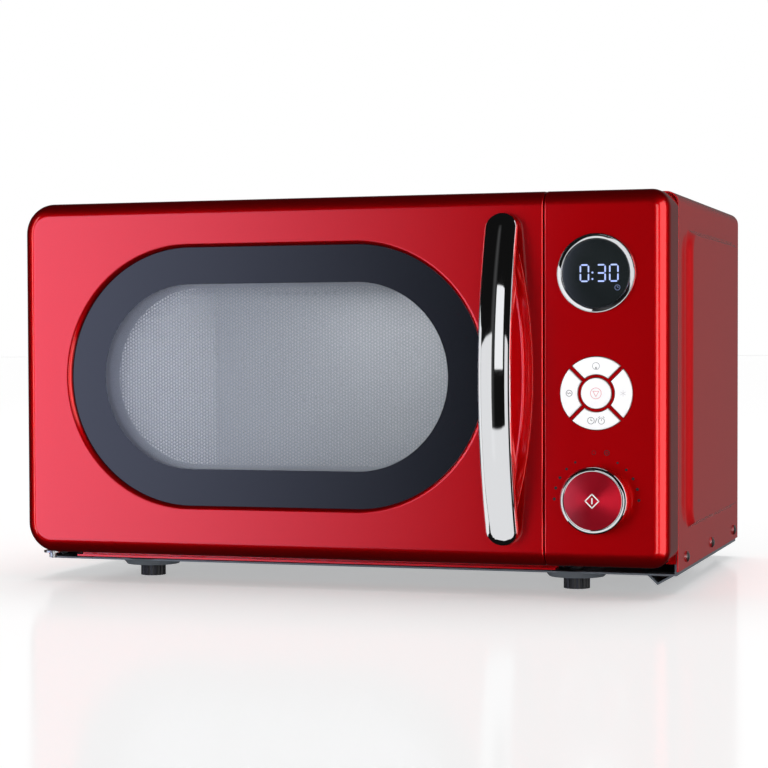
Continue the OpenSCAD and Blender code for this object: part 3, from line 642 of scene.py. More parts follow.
dim_glow.feed(dim_glow.shader, {
    "Base Color": dim_glow.blend(dim_even, (0.05, 0.07, 0.13, 1), (0.07, 0.09, 0.15, 1)),
    "Emission Color": dim_glow.blend(dim_even, (0.2, 0.28, 0.6, 1), (0.26, 0.34, 0.66, 1))})
dim_glow.wear(clock_sign)
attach(clock_sign, "cabinet")


# ---- keys ----
# Four silver sector keys and a round stop key, moulded and sprayed silver, each with a printed sign.
# They slide in the panel's openings and press switches on the board behind.
silver = Finish("key_silver", {"Metallic": 0.1, "Coat Weight": 0.6, "Coat Roughness": 0.12})
silver_flake = silver.grain(0.0003, 1.0)
silver_cloud = silver.grain(0.012)
silver.feed(silver.shader, {
    "Base Color": silver.blend(silver_flake, (0.86, 0.86, 0.87, 1), (0.96, 0.96, 0.96, 1)),
    "Roughness": silver_cloud * 0.1 + 0.3})
ink_grey = moulded("sign_grey", (0.12, 0.12, 0.13), 0.5)
ink_pale = moulded("sign_pale", (0.48, 0.45, 0.46), 0.5)
ink_red = moulded("sign_red", (0.72, 0.2, 0.24), 0.5)
key_back = face_y + 6 * MM
key_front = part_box("button_right")[0].y
bodies = ["key_right", "key_top", "key_left", "key_bottom"]
for quarter, body in enumerate(bodies):
    key = sector(body + "_cap", quarter, 0, key_front, key_back)
    round_edges(key, 0.8 * MM, 4, lambda a, b: near(a.y, key_front) and near(b.y, key_front))
    angle = math.radians(90 * quarter)
    stem_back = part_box("button" + body[3:])[1].y
    stem = drum("stem", pad.x + 17 * MM * math.cos(angle), pad.z + 17 * MM * math.sin(angle), 2 * MM,
                key_back - 0.2 * MM, stem_back, 24)
    cut(key, stem, "UNION")
    smooth(key)
    silver.wear(key)
    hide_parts("button" + body[3:])
    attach(key, body)
stop_outline = ([(2 * MM, stop_hi.y), (2 * MM, key_back), (stop_r, key_back)]
                + arc(stop_r - 0.9 * MM, stop_lo.y + 0.95 * MM, 0.9 * MM, 0, 80, 5)
                + [(stop_r * 0.5, stop_lo.y + 0.03 * MM), (stop_r * 0.3, stop_lo.y + 0.01 * MM)])
stop_key = smooth(seal(lathe("stop_key", pad.x, pad.z, stop_outline, solid=True)), 40)
silver.wear(stop_key)
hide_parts("button_stop")
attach(stop_key, "key_stop")


def print_on(name, strokes, ink, body):
    """Joins printed strokes into one sign that moves with a body."""
    sign = joined(name, strokes)
    ink.wear(sign)
    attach(sign, body)


def spot(dx, dz):
    """Place on the key pad, in millimetres from its middle."""
    return (pad.x + dx * MM, pad.z + dz * MM)


line = 0.32 * MM


def pad_stroke(start, end, width=line):
    return stroke(spot(*start), spot(*end), sign_y, width)


stop_y = stop_lo.y + 0.01 * MM
tri = [(-1.9, 1.3), (1.9, 1.3), (0, -2.0)]
print_on("stop_sign", [hoop(pad.x, pad.z, stop_y, 3.4 * MM, line)]
         + [stroke(spot(*tri[i]), spot(*tri[i - 1]), stop_y, line) for i in range(3)],
         ink_red, "key_stop")
sign_y = key_front
print_on("clock_signs",
         [hoop(*spot(-3.2, -17), sign_y, 2.1 * MM, line), hoop(*spot(3.4, -17.2), sign_y, 1.9 * MM, line),
          pad_stroke((-3.2, -17), (-3.2, -15.7)), pad_stroke((-3.2, -17), (-2.2, -17)),
          pad_stroke((3.4, -17.2), (3.4, -16)), pad_stroke((-0.7, -18.6), (0.7, -15.4)),
          pad_stroke((1.5, -15.2), (2.4, -14.4)), pad_stroke((5.3, -15.2), (4.4, -14.4))],
         ink_grey, "key_bottom")
print_on("power_sign",
         [hoop(*spot(-17, 0), sign_y, 1.9 * MM, line)]
         + [pad_stroke((-18.2 + 0.8 * i, 0.4 * (-1) ** i), (-17.4 + 0.8 * i, -0.4 * (-1) ** i))
            for i in range(3)],
         ink_grey, "key_left")
print_on("weight_sign",
         [hoop(*spot(0, 17), sign_y, 2.2 * MM, 0.22 * MM), pad_stroke((-0.7, 15.5), (0.7, 15.5)),
          pad_stroke((-0.5, 15.6), (0, 16.4)), pad_stroke((0.5, 15.6), (0, 16.4))],
         ink_grey, "key_top")
thaw_star = [(1.9 * math.cos(math.radians(turn)), 1.9 * math.sin(math.radians(turn)))
             for turn in (30, 90, 150)]
print_on("thaw_sign", [pad_stroke((17 - dx, -dz), (17 + dx, dz), 0.2 * MM) for dx, dz in thaw_star],
         ink_pale, "key_right")


# ---- knob ----
# Push-and-turn knob: dark red skirt, chromed ring and a turned candy-red cap with fine circular grooves
# and a printed start sign. It rides on the encoder's shaft.
skirt_r = knob_hi.x - knob.x
skirt_bore = 17 * MM
skirt_outline = [(skirt_bore, knob_hi.y), (skirt_r - 0.4 * MM, knob_hi.y), (skirt_r, knob_hi.y - 0.4 * MM),
                 (skirt_r, knob_lo.y), (skirt_bore, knob_lo.y), (skirt_bore, knob_hi.y)]
skirt = smooth(seal(lathe("knob_skirt_turned", knob.x, knob.z, skirt_outline)), 40)
front_red.wear(skirt)
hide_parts("knob_skirt")
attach(skirt, "knob")
trim_lo, trim_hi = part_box("knob_ring")
trim_r = trim_hi.x - knob.x
cap_lo, cap_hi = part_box("knob_cap")
cap_r = cap_hi.x - knob.x
trim_outline = ([(cap_r, trim_hi.y), (trim_r - 0.3 * MM, trim_hi.y), (trim_r, trim_hi.y - 0.3 * MM)]
                + arc(trim_r - 3.0 * MM, trim_lo.y + 3.0 * MM, 3.0 * MM, 0, 82, 8)
                + [(cap_r, trim_lo.y + 0.3 * MM), (cap_r, trim_hi.y)])
trim = smooth(seal(lathe("knob_trim", knob.x, knob.z, trim_outline, 128)), 50)
chrome.wear(trim)
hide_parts("knob_ring")
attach(trim, "knob")
cap_rim = cap_lo.y + 1.1 * MM
dome = (cap_r ** 2 + (cap_rim - cap_lo.y) ** 2) / (2 * (cap_rim - cap_lo.y))
cap_outline = [(cap_r, cap_hi.y), (cap_r, cap_rim)] + [
    (r * MM, cap_lo.y + dome - math.sqrt(dome ** 2 - (r * MM) ** 2)) for r in (17.4, 15, 12, 9, 6, 3, 1)]
cap = smooth(seal(lathe("knob_cap_turned", knob.x, knob.z, cap_outline, 128, solid=True)), 40)
spun_red = Finish("spun_red", {"Metallic": 0.85, "Coat Weight": 0.6, "Coat Roughness": 0.06})
centre = spun_red.node("Mapping", {}, {"Vector": spun_red.place, "Location": (-knob.x, 0, -knob.z)})
flat_centre = spun_red.node("VectorMath", {"operation": "MULTIPLY"}, {0: centre, 1: (1, 0, 1)})
radius = spun_red.node("VectorMath", {"operation": "LENGTH"}, {0: flat_centre}, "Value")
grooves = spun_red.node("Math", {"operation": "SINE"}, {0: radius * 21000.0})
# The cap's base colour is darker in the groove valleys and lighter on the crests, in step with the bump:
# painted shade in the grooves.
spun_red.feed(spun_red.shader, {
    "Base Color": spun_red.blend(grooves * 0.5 + 0.5, (0.5, 0.004, 0.014, 1), (0.68, 0.012, 0.03, 1)),
    "Roughness": grooves * 0.04 + 0.3})
spun_red.bumps(grooves, 0.000014)
spun_red.wear(cap)
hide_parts("knob_cap")
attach(cap, "knob")
ink_white = moulded("sign_white", (0.85, 0.83, 0.82), 0.4)
reach = 4.3 * MM
corners = [(knob.x + reach * math.cos(math.radians(90 * i)), knob.z + reach * math.sin(math.radians(90 * i)))
           for i in range(4)]
mark_y = cap_lo.y + 0.06 * MM
start_sign = joined("start_sign",
                    [stroke(corners[i], corners[i - 1], mark_y, 0.7 * MM, 0.1 * MM) for i in range(4)]
                    + [drum("corner", *corners[i], 0.35 * MM, mark_y - 0.1 * MM, mark_y, 12)
                       for i in range(4)]
                    + [stroke((knob.x, knob.z - 1.9 * MM), (knob.x, knob.z + 1.9 * MM), mark_y,
                              0.8 * MM, 0.1 * MM)])
ink_white.wear(start_sign)
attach(start_sign, "knob")
dot_r = 26.7 * MM
dots = []
for degrees in (0, 15, 30, 45, 60, 120, 135, 150, 165, 180):
    a = math.radians(degrees)
    dots.append(drum("dot", knob.x + dot_r * math.cos(a), knob.z + dot_r * math.sin(a),
                     (0.5 + 0.5 * abs(math.cos(a))) * MM,
                     face_y - 0.05 * MM, face_y + 0.02 * MM, 20))
icon_z = knob.z + 29.3 * MM
dots.append(hoop(knob.x + 6.6 * MM, icon_z, face_y, 1.5 * MM, 0.45 * MM, 0.05 * MM, 24))
dots.append(stroke((knob.x + 5.9 * MM, icon_z), (knob.x + 7.3 * MM, icon_z), face_y, 0.4 * MM, 0.05 * MM))
dots.append(hoop(knob.x - 1.6 * MM, icon_z, face_y, 1.3 * MM, 0.25 * MM, 0.05 * MM, 24))
dial_marks = joined("dial_marks", dots)
ink_black = moulded("sign_black", (0.02, 0.006, 0.008), 0.45)
ink_black.wear(dial_marks)
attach(dial_marks, "cabinet")


# ---- door skin ----
# Moulded door front, lacquered candy red, with a long round-ended window, a rolled lip round it,
# and a scoop for the fingers behind the handle.
door_lo, door_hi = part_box("door_frame")
glass_lo, glass_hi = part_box("door_glass")
window = (glass_lo + glass_hi) / 2
glass_r = (glass_hi.z - glass_lo.z) / 2
run = (glass_hi.x - glass_lo.x) / 2 - glass_r
opening_r = glass_r - 3.5 * MM


def window_bar(name, radius, y0, y1, steps=160):
    """Block in the window's shape: a straight run with two round ends."""
    bpy.ops.mesh.primitive_cylinder_add(vertices=steps, radius=radius, depth=y1 - y0,
                                        location=(window.x, (y0 + y1) / 2, window.z),
                                        rotation=(math.pi / 2, math.pi / steps, 0))
    piece = settle(name)
    for side in (-1, 1):
        pick(piece, "VERT", lambda v: (v.x - window.x) * side > 0)
        bpy.ops.transform.translate(value=(side * run, 0, 0))
        close()
    return piece


def from_axis(point):
    """Distance from the window's middle line."""
    along = max(-run, min(run, point.x - window.x))
    return math.hypot(point.x - window.x - along, point.z - window.z)


def scoop(name, outline):
    """Pointed oval block made of two turned halves; the outline lists (distance out, y)."""
    half = 12.5 * MM
    tall = 92 * MM
    big = (tall ** 2 + half ** 2) / (2 * half)
    x = 121.5 * MM
    z = 139 * MM
    ring = [(big + r * MM, y) for r, y in outline]
    piece = seal(lathe(name, x + half - big, z, ring, 900, solid=True))
    return cut(piece, seal(lathe("other_side", x - half + big, z, ring, 900, solid=True)), "INTERSECT")


hinge_x = -209 * MM
hinge_y = -119 * MM
block_front = -131 * MM
block_back = -108 * MM
block_side = -201 * MM
hinge_blocks = [((door_lo.x - 1 * MM, block_front, z0), (block_side, block_back, z1))
                for z0, z1 in ((door_lo.z - 1 * MM, 34 * MM), (226 * MM, door_hi.z + 1 * MM))]
door = front_shell("door_skin", door_lo, door_hi, [door_lo.x], 3 * MM, 20 * MM, 10 * MM, hinge_blocks)
cut(door, scoop("scoop_back", [(-2.5, face_y + 10.5 * MM), (2, face_y + 2 * MM)]), "UNION")
dish = [(-9.5, 9.0), (-8.5, 8.9), (-7.5, 8.6), (-6.5, 8.1), (-5.5, 7.35), (-4.5, 6.35), (-3.5, 5.1),
        (-2.5, 3.65), (-1.6, 2.2), (-0.9, 1.15), (-0.3, 0.5), (0.5, 0.12), (2, -0.1), (2, -4)]
cut(door, scoop("scoop", [(r, face_y + y * MM) for r, y in dish]))
cut(door, window_bar("window_hole", opening_r, *through))
round_edges(door, 3.2 * MM, 8, lambda a, b: near(a.y, face_y) and near(b.y, face_y)
            and abs(from_axis(a) - opening_r) < 0.1 * MM and abs(from_axis(b) - opening_r) < 0.1 * MM)
pin_hole_r = 3.6 * MM
bush_r = 5 * MM
for radius, z0, z1 in ((pin_hole_r, door_lo.z - 1 * MM, 27 * MM), (bush_r, 26 * MM, 31.5 * MM),
                       (bush_r, 229 * MM, 250 * MM)):
    bpy.ops.mesh.primitive_cylinder_add(vertices=32, radius=radius, depth=z1 - z0,
                                        location=(hinge_x, hinge_y, (z0 + z1) / 2))
    cut(door, settle("bush_hole"))
cut(door, box_between("bracket_slot", (door_lo.x - 1 * MM, block_front, 238.8 * MM),
                      (-196 * MM, door_hi.y + 1 * MM, 243.2 * MM)))
relief = box_between("swing_relief", (-12 * MM, -12 * MM, 0), (0, 12 * MM, 300 * MM))
relief.data.transform(Matrix.Translation((door_lo.x + 3 * MM, door_hi.y - 3.6 * MM, -10 * MM))
                      @ Matrix.Rotation(math.radians(-45), 4, "Z"))
cut(door, relief)
smooth(door)
front_red.wear(door)
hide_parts("door_frame")
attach(door, "door")


# ---- window glass ----
# Tinted glass held behind the door skin, with a black border printed round its clear middle.
# The border hides the glue and the edge of the screen.
tint = Finish("window_glass", {"Roughness": 0.01, "IOR": 2.1})
tint_cloud = tint.grain(0.08)
tint.feed(tint.shader, {
    "Base Color": tint.blend(tint_cloud, (0.02, 0.025, 0.03, 1), (0.03, 0.035, 0.042, 1)),
    "Alpha": tint_cloud * 0.04 + 0.22})
glass = window_bar("window_glass", glass_r, glass_lo.y, glass_hi.y)
round_edges(glass, 0.3 * MM, 1, lambda a, b: near(a.y, b.y))
smooth(glass)
tint.wear(glass)
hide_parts("door_glass")
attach(glass, "door")
clear_r = 61.3 * MM
border = window_bar("window_border", glass_r - 0.5 * MM, glass_lo.y - 0.06 * MM, glass_lo.y - 0.01 * MM)
cut(border, window_bar("clear_middle", clear_r, glass_hi.y - 5 * MM, glass_hi.y + 5 * MM))
smooth(border)
border_ink = Finish("border_black", {"IOR": 1.46})
border_cloud = border_ink.grain(0.03)
border_ink.feed(border_ink.shader, {
    "Base Color": border_ink.blend(border_cloud, (0.004, 0.005, 0.007, 1), (0.007, 0.008, 0.01, 1)),
    "Roughness": border_cloud * 0.02 + 0.02})
border_ink.wear(border)
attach(border, "door")


# ---- door screen ----
# Steel pan behind the glass. Its middle is punched with thousands of small holes in a staggered grid,
# which let light out and keep the microwaves in.
pan_lo, pan_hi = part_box("door_screen")
pitch = 2.28 * MM
column_step = pitch * math.sqrt(3) / 2
cell_r = pitch / math.sqrt(3)
hole_share = 0.6
screen_r = 60 * MM
web = 0.5 * MM
bpy.ops.mesh.primitive_circle_add(vertices=6, radius=cell_r, fill_type="NGON", location=(0, pan_lo.y, 0),
                                  rotation=(math.pi / 2, math.pi / 6, 0))
cell = settle("hole_cell")
if abs(max(v.co.x for v in cell.data.vertices) - cell_r) > 0.01 * MM:
    cell.data.transform(Matrix.Rotation(math.pi / 6, 4, "Y"))
pick(cell, "FACE", lambda c, n: True)
bpy.ops.mesh.inset(thickness=cell_r * math.cos(math.pi / 6) * (1 - hole_share))
bpy.ops.mesh.extrude_region_move(TRANSFORM_OT_translate={"value": (0, web, 0)})
bpy.ops.mesh.delete(type="FACE")
close()
columns = []
half_columns = int((run + screen_r) / column_step)
for index in range(-half_columns, half_columns + 1):
    x = index * column_step
    beyond = max(0.0, abs(x) - run)
    reach_z = math.sqrt(max(0.0, screen_r ** 2 - beyond ** 2)) - 0.6 * MM
    shift = 0.5 * (index % 2)
    count_up = math.floor(reach_z / pitch - shift)
    count_down = math.floor(reach_z / pitch + shift)
    if count_up + count_down < 1:
        continue
    column = cell.copy()
    column.data = cell.data.copy()
    bpy.context.collection.objects.link(column)
    column.data.transform(Matrix.Translation((window.x + x, 0, window.z + (shift - count_down) * pitch)))
    repeat(column, count_up + count_down + 1, (0, 0, pitch))
    columns.append(column)
bpy.data.objects.remove(cell)
punched = joined("punched_screen", columns)
pick(punched, "VERT", lambda v: True)
bpy.ops.mesh.remove_doubles(threshold=0.02 * MM)
close()
screen_paint = painted("screen_grey", (0.55, 0.59, 0.63), 0.42, 0.08)
screen_paint.wear(punched)
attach(punched, "door")
pan = box_between("screen_pan", (pan_lo.x, pan_lo.y + 0.1 * MM, pan_lo.z), pan_hi)
round_edges(pan, 6 * MM, 6, lambda a, b: near(a.x, b.x) and near(a.z, b.z))
round_edges(pan, 1.5 * MM, 4, lambda a, b: a.y < pan_lo.y + 0.2 * MM and b.y < pan_lo.y + 0.2 * MM)
pan_inside = box_between("pan_inside", (pan_lo.x + 1 * MM, pan_lo.y + 0.9 * MM, pan_lo.z + 1 * MM),
                         (pan_hi.x - 1 * MM, pan_hi.y + 5 * MM, pan_hi.z - 1 * MM))
round_edges(pan_inside, 5 * MM, 6, lambda a, b: near(a.x, b.x) and near(a.z, b.z))
cut(pan, pan_inside)
cut(pan, window_bar("screen_hole", screen_r - 0.9 * MM, pan_lo.y - 5 * MM, pan_lo.y + 5 * MM))
smooth(pan)
screen_paint.wear(pan)
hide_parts("door_screen")
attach(pan, "door")


# ---- choke cover ----
# Black plastic cover clipped over the back of the door, with a clear film over the screen.
# It keeps grease out of the choke groove; the latch hooks come through its two slots.
black_plastic.wear(nodes["choke_cover"])
cover_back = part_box("choke_cover")[1].y
well_r = 66 * MM
well = window_bar("window_well", well_r, pan_lo.y + 1 * MM, cover_back - 0.05 * MM)
cut(well, window_bar("well_middle", well_r - 1 * MM, pan_lo.y - 5 * MM, cover_back + 5 * MM))
smooth(well)
black_plastic.wear(well)
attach(well, "door")


# ---- handle ----
# Bowed bar of die-cast zinc, chromed, with round tongue-shaped ends that touch the door.
# Two screws from inside the door hold it.
handle_lo, handle_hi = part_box("handle")
bar_w = handle_hi.x - handle_lo.x
bar_t = 8 * MM
bar_mid = (handle_lo + handle_hi) / 2
span = handle_hi.z - handle_lo.z
rise = face_y - handle_lo.y - bar_t / 2 - 4 * MM
bow_r = ((span / 2) ** 2 + rise ** 2) / (2 * rise)
sweep = 2 * math.asin(span / 2 / bow_r)
length = bow_r * sweep
handle = box_between("handle_bar", (-bar_w / 2, -bar_t / 2, -length / 2), (bar_w / 2, bar_t / 2, length / 2))
round_edges(handle, bar_w / 2 - 0.15 * MM, 16, lambda a, b: near(a.x, b.x) and near(a.z, b.z))
round_edges(handle, 1.2 * MM, 3, lambda a, b: near(a.y, bar_t / 2) and near(b.y, bar_t / 2))
pick(handle, "FACE", lambda c, n: n.y < -0.99)
bpy.ops.transform.translate(value=(0, 5.0 * MM, 0))
for inset, forward in ((0.15, 0.9), (0.4, 0.9), (0.6, 0.7), (0.9, 0.6), (1.2, 0.55), (1.4, 0.5)):
    bpy.ops.mesh.inset(thickness=inset * MM, depth=0)
    bpy.ops.transform.translate(value=(0, -forward * MM, 0))
close()
crown = 0.85 * MM
crown_y = -bar_t / 2 + crown
crown_r = bar_w / 2 - 4.65 * MM
ends = length / 2 - bar_w / 2
cuts = [((k * 1.2 * MM, 0, 0), (1, 0, 0)) for k in range(-4, 5)]
cuts += [((0, 0, side * (ends + k * 1.0 * MM)), (0, 0, 1)) for side in (-1, 1) for k in range(1, 6)]
cuts += [((0, 0, (k / 30 - 1) * ends), (0, 0, 1)) for k in range(61)]
pick(handle, "VERT", lambda v: True)
for point, normal in cuts:
    bpy.ops.mesh.select_all(action="SELECT")
    bpy.ops.mesh.bisect(plane_co=point, plane_no=normal)
close()
for vertex in handle.data.vertices:
    if near(vertex.co.y, crown_y):
        past = max(0.0, abs(vertex.co.z) - ends)
        out = math.hypot(vertex.co.x, past) / crown_r
        vertex.co.y -= crown * max(0.0, 1 - out * out)
bend = handle.modifiers.new("bow", "SIMPLE_DEFORM")
bend.deform_method = "BEND"
bend.deform_axis = "X"
bend.angle = sweep
apply(handle, bend)
handle.data.transform(Matrix.Translation((bar_mid.x, handle_lo.y + bar_t / 2, bar_mid.z)))
smooth(handle, 40)
chrome.wear(handle)
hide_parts("handle")
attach(handle, "door")


# ---- turntable ----
# Heavy clear glass tray with an upturned rim, carried by three rollers on a plastic ring.
# Three lugs under it drop over the coupler on the motor's shaft.
tray_outline = [(20, 0), (102, 0), (106, 0.9), (113, 4), (116.6, 7.4), (118, 10.3), (117.7, 11.2),
                (116.9, 11.5), (115.6, 10.9), (110.5, 7.5), (106, 5.5), (101, 4.6), (20, 4.6)]
bpy.ops.mesh.primitive_circle_add(vertices=160, radius=tray_outline[0][0] * MM,
                                  location=(turn_centre.x, turn_centre.y, tray_lo.z + 5.5 * MM),
                                  fill_type="NGON")
tray = settle("glass_turntable")
pick(tray, "VERT", lambda v: True)
for (r0, z0), (r1, z1) in zip(tray_outline, tray_outline[1:]):
    bpy.ops.mesh.extrude_region_move(TRANSFORM_OT_translate={"value": (0, 0, (z1 - z0) * MM)})
    bpy.ops.transform.resize(value=(r1 / r0, r1 / r0, 1), center_override=(turn_centre.x, turn_centre.y, 0))
seal(tray)
for turn in range(3):
    lug_turn = math.radians(60 + 120 * turn)
    bpy.ops.mesh.primitive_cylinder_add(vertices=32, radius=3 * MM, depth=6 * MM, location=(
        turn_centre.x + 14 * MM * math.cos(lug_turn), turn_centre.y + 14 * MM * math.sin(lug_turn),
        tray_lo.z + 3 * MM))
    cut(tray, settle("lug"), "UNION")
smooth(tray, 40)
clear = Finish("tray_glass", {"Transmission Weight": 1.0, "IOR": 1.5})
clear_cloud = clear.grain(0.05)
clear.feed(clear.shader, {
    "Base Color": clear.blend(clear_cloud, (0.88, 0.95, 0.94, 1), (0.93, 0.98, 0.97, 1)),
    "Roughness": clear_cloud * 0.02 + 0.005})
clear.wear(tray)
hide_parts("glass_tray")
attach(tray, "tray")


# ---- floor, lights and camera ----
# A pale seamless floor. One tall soft box stands at the front left for the lacquer, with a strip light
# at each side; the chromed pieces have their own white boards.
bpy.ops.mesh.primitive_plane_add(size=60, location=(0, 0, 0))
floor = settle("floor")
floor_finish = Finish("floor_white", {"Specular IOR Level": 0.0, "Emission Strength": 0.46, "Roughness": 1.0,
                                      "Emission Color": (1, 1, 1, 1)})
floor_cloud = floor_finish.grain(0.5)
floor_finish.feed(floor_finish.shader, {
    "Base Color": floor_finish.blend(floor_cloud, (0.8, 0.8, 0.8, 1), (0.82, 0.82, 0.82, 1))})
sheen = floor_finish.node("BsdfAnisotropic", {}, {"Color": (1, 1, 1, 1), "Roughness": 0.12})
matt = Value(floor_finish, floor_finish.shader.outputs[0])
polished = floor_finish.node("MixShader", {}, {0: 0.11, 1: matt, 2: sheen})
floor_finish.tree.links.new(polished.socket, floor_finish.tree.nodes["Material Output"].inputs["Surface"])
floor_finish.wear(floor)
floor.visible_glossy = False
bright = bpy.data.collections.new("chromed_pieces")
for piece in (handle, bezel, trim):
    bright.objects.link(piece)
plain = bpy.data.collections.new("other_pieces")
for piece in bpy.context.scene.objects:
    if piece.type == "MESH" and piece not in (handle, bezel, trim):
        plain.objects.link(piece)


def board(name, low, high, facing, levels, colour, pieces):
    """Glowing board between two corners, lighting only the given pieces; levels lists patches as
    (start, end, bottom, top, level, soft start, soft end, soft top and bottom), in metres."""
    low = Vector(low)
    high = Vector(high)
    middle = (low + high) / 2
    size = high - low
    bpy.ops.mesh.primitive_plane_add(size=1)
    made = bpy.context.object
    made.name = name
    along_x = size.y == 0
    wide = size.x if along_x else size.y
    made.data.transform(Matrix.Diagonal((wide, size.z, 1, 1)))
    made.data.transform(Matrix.Rotation(math.pi / 2, 4, "X"))
    if not along_x:
        made.data.transform(Matrix.Rotation(math.pi / 2, 4, "Z"))
    made.data.transform(Matrix.Translation(middle))
    pick(made, "FACE", lambda c, n: True)
    if made.data.polygons[0].normal.dot(Vector(facing)) < 0:
        bpy.ops.mesh.flip_normals()
    close()
    glow = Finish(name + "_light", {})
    axes = [glow.node("SeparateXYZ", {}, {0: glow.place}, k) for k in range(3)]
    across = axes[0] if along_x else axes[1]
    total = None
    for x0, x1, z0, z1, level, soft0, soft1, soft_z in levels:
        edges = [glow.node("MapRange", {"interpolation_type": "SMOOTHSTEP"},
                           {0: value, 1: at - soft / 2, 2: at + soft / 2, 3: start, 4: 1 - start})
                 for value, at, start, soft in ((across, x0, 0, soft0), (across, x1, 1, soft1),
                                                (axes[2], z0, 0, soft_z), (axes[2], z1, 1, soft_z))]
        patch = edges[0] * edges[1] * edges[2] * edges[3] * level
        total = patch if total is None else total + patch
    shine = glow.node("Emission", {}, {"Color": [*colour, 1], "Strength": total})
    clear_board = glow.node("BsdfTransparent", {}, {})
    both = glow.node("AddShader", {}, {0: shine, 1: clear_board})
    glow.tree.links.new(both.socket, glow.tree.nodes["Material Output"].inputs["Surface"])
    glow.wear(made)
    made.visible_camera = False
    made.visible_shadow = False
    made.visible_diffuse = False
    made.light_linking.receiver_collection = pieces


cool = (0.85, 0.93, 1.35)
white = (1, 1, 1)
board("soft_box", (-3.0, -2.4, -1.2), (0.6, -2.4, 1.6), (0, 1, 0),
      [(-2.3, -0.9, -0.75, 0.95, 2.3, 0.4, 1.2, 0.25)], cool, plain)
board("front_strip", (0.6, -2.4, -1.2), (2.0, -2.4, 1.6), (0, 1, 0),
      [(0.9, 1.6, -0.75, 0.95, 2.8, 0.4, 0.3, 0.25)], white, plain)
board("left_strip", (-1.6, -1.6, -0.6), (-1.6, -0.6, 1.4), (1, 0, 0),
      [(-1.25, -1.02, -0.5, 1.2, 4.0, 0.1, 0.1, 0.2)], white, plain)
board("right_box", (1.6, -2.2, -0.9), (1.6, 0.9, 1.6), (-1, 0, 0),
      [(-1.6, -0.1, -0.6, 1.1, 2.0, 0.5, 0.2, 0.3)], white, plain)
board("back_wall", (-3, 3, -1), (4, 3, 2.5), (0, -1, 0), [(-3, 4, -1, 2.5, 0.1, 0.1, 0.1, 0.1)], white, plain)
board("chrome_front", (-1.6, -1.0, -3.2), (1.6, -1.0, 1.2), (0, 1, 0),
      [(0.014, 0.5, 0.176, 0.62, 1.0, 0.004, 0.004, 0.004),
       (-1.6, -0.155, -3.2, 0.36, 0.85, 0.02, 0.02, 0.02),
       (-0.155, 0.62, -3.2, -0.12, 0.85, 0.02, 0.02, 0.02), (0.62, 1.6, -3.2, 0.36, 0.85, 0.02, 0.02, 0.02),
       (-0.2, -0.06, -0.3, 1.1, 0.06, 0.2, 0.2, 0.12)], white, bright)
board("chrome_side", (1.2, -0.1, -0.6), (1.2, 3.0, 1.6), (-1, 0, 0),
      [(0.0, 2.9, -0.6, 1.6, 1.0, 0.02, 0.02, 0.02)], white, bright)
board("chrome_left", (-1.6, -0.95, -1.2), (-1.6, 0.9, 1.2), (1, 0, 0),
      [(-0.95, 0.8, -1.2, 0.5, 0.95, 0.02, 0.02, 0.02)], white, bright)
floor_only = bpy.data.collections.new("floor_only")
floor_only.objects.link(floor)
board("backdrop", (-40, 28, -0.5), (40, 28, 14), (0, -1, 0), [(-40, 40, -0.5, 14, 1.0, 0.1, 0.1, 0.1)],
      white, floor_only)

# soft light from above and behind that gives the floor its shadow
bpy.ops.object.light_add(type="SUN", location=(0, 0.6, 2), rotation=(math.radians(-14), 0, 0))
overhead = bpy.context.object
overhead.name = "overhead_light"
overhead.data.energy = 1.12
overhead.data.angle = math.radians(50)
overhead.visible_glossy = False
overhead.light_linking.receiver_collection = floor_only

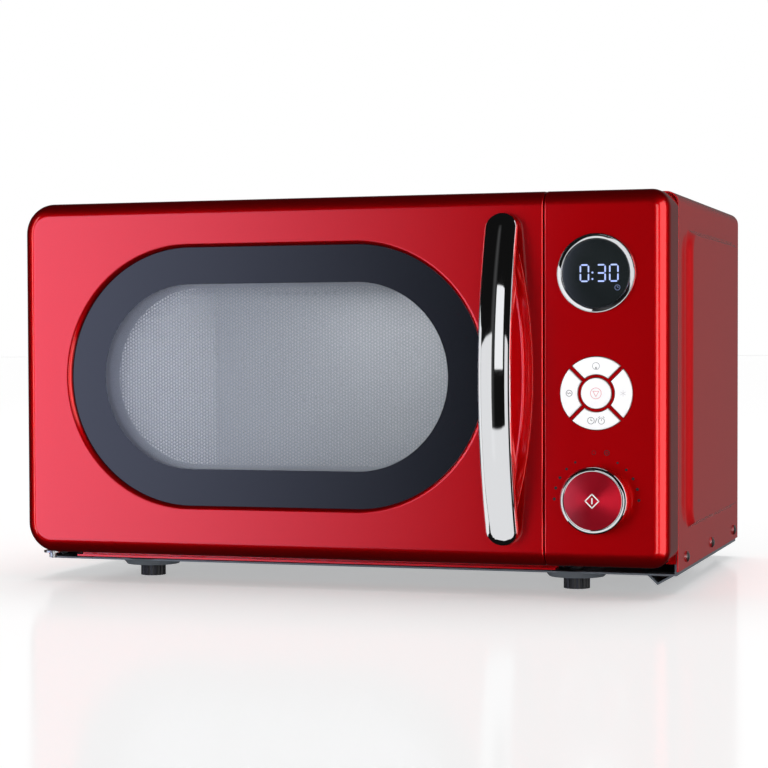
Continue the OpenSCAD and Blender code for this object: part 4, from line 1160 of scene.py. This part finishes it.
world = bpy.data.worlds.new("studio")
bpy.context.scene.world = world
world.use_nodes = True
world.cycles.sampling_method = "NONE"
sky = world.node_tree
sky.nodes.clear()
sky_out = sky.nodes.new("ShaderNodeOutputWorld")
path = sky.nodes.new("ShaderNodeLightPath")
levels = []
level_in_reflections = 0.006
level_on_pieces = 0.32
level_behind = 1.0
for level in (level_in_reflections, level_on_pieces, level_behind):
    made = sky.nodes.new("ShaderNodeBackground")
    made.inputs["Color"].default_value = (level, level, level, 1)
    levels.append(made.outputs[0])
for ray, level in (("Is Diffuse Ray", levels[1]), ("Is Camera Ray", levels[2])):
    either = sky.nodes.new("ShaderNodeMixShader")
    sky.links.new(path.outputs[ray], either.inputs[0])
    sky.links.new(levels[0], either.inputs[1])
    sky.links.new(level, either.inputs[2])
    levels[0] = either.outputs[0]
sky.links.new(levels[0], sky_out.inputs["Surface"])
oven = bpy.data.collections.new("all_pieces")
for piece in list(plain.objects) + list(bright.objects):
    if piece is not floor:
        oven.objects.link(piece)


def lamp(name, place, aim, size, power, colour=(1, 1, 1)):
    """Soft square lamp on the oven alone, seen neither directly nor in reflections."""
    bpy.ops.object.light_add(type="AREA", location=place)
    made = bpy.context.object
    made.name = name
    made.data.size = size
    made.data.energy = power
    made.data.color = colour
    made.rotation_euler = (Vector(place) - Vector(aim)).to_track_quat("Z", "Y").to_euler()
    made.visible_camera = False
    made.visible_glossy = False
    made.light_linking.receiver_collection = oven


lamp("front_lamp", (-0.9, -2.2, 0.7), (0, 0, 0.1), 1.4, 34)
lamp("side_lamp", (2.2, 0.3, 0.6), (0, 0, 0.1), 1.2, 22)
lamp("chamber_lamp", (-0.04, 0.06, 0.232), (-0.04, -0.02, 0), 0.12, 0.7, (0.95, 0.97, 1.0))
lamp("low_lamp", (-0.1, -1.6, 0.06), (0, 0, 0.05), 0.8, 4.0)

bpy.ops.object.camera_add(location=(0.44941, -1.46466, 0.15853))
camera = bpy.context.object
heading = Matrix.Rotation(math.radians(18.33), 3, "Z")
pitch_down = Matrix.Rotation(math.radians(90 - 1.81), 3, "X")
tilt = Matrix.Rotation(math.radians(-0.22), 3, "Z")
camera.rotation_euler = (heading @ pitch_down @ tilt).to_euler()
camera.data.sensor_width = 36
camera.data.lens = 101.3
camera.data.shift_x = 0.0501
camera.data.shift_y = 0.0390
camera.data.clip_start = 0.01
camera.data.dof.use_dof = False
bpy.context.scene.camera = camera
bpy.context.scene.view_settings.view_transform = "Standard"
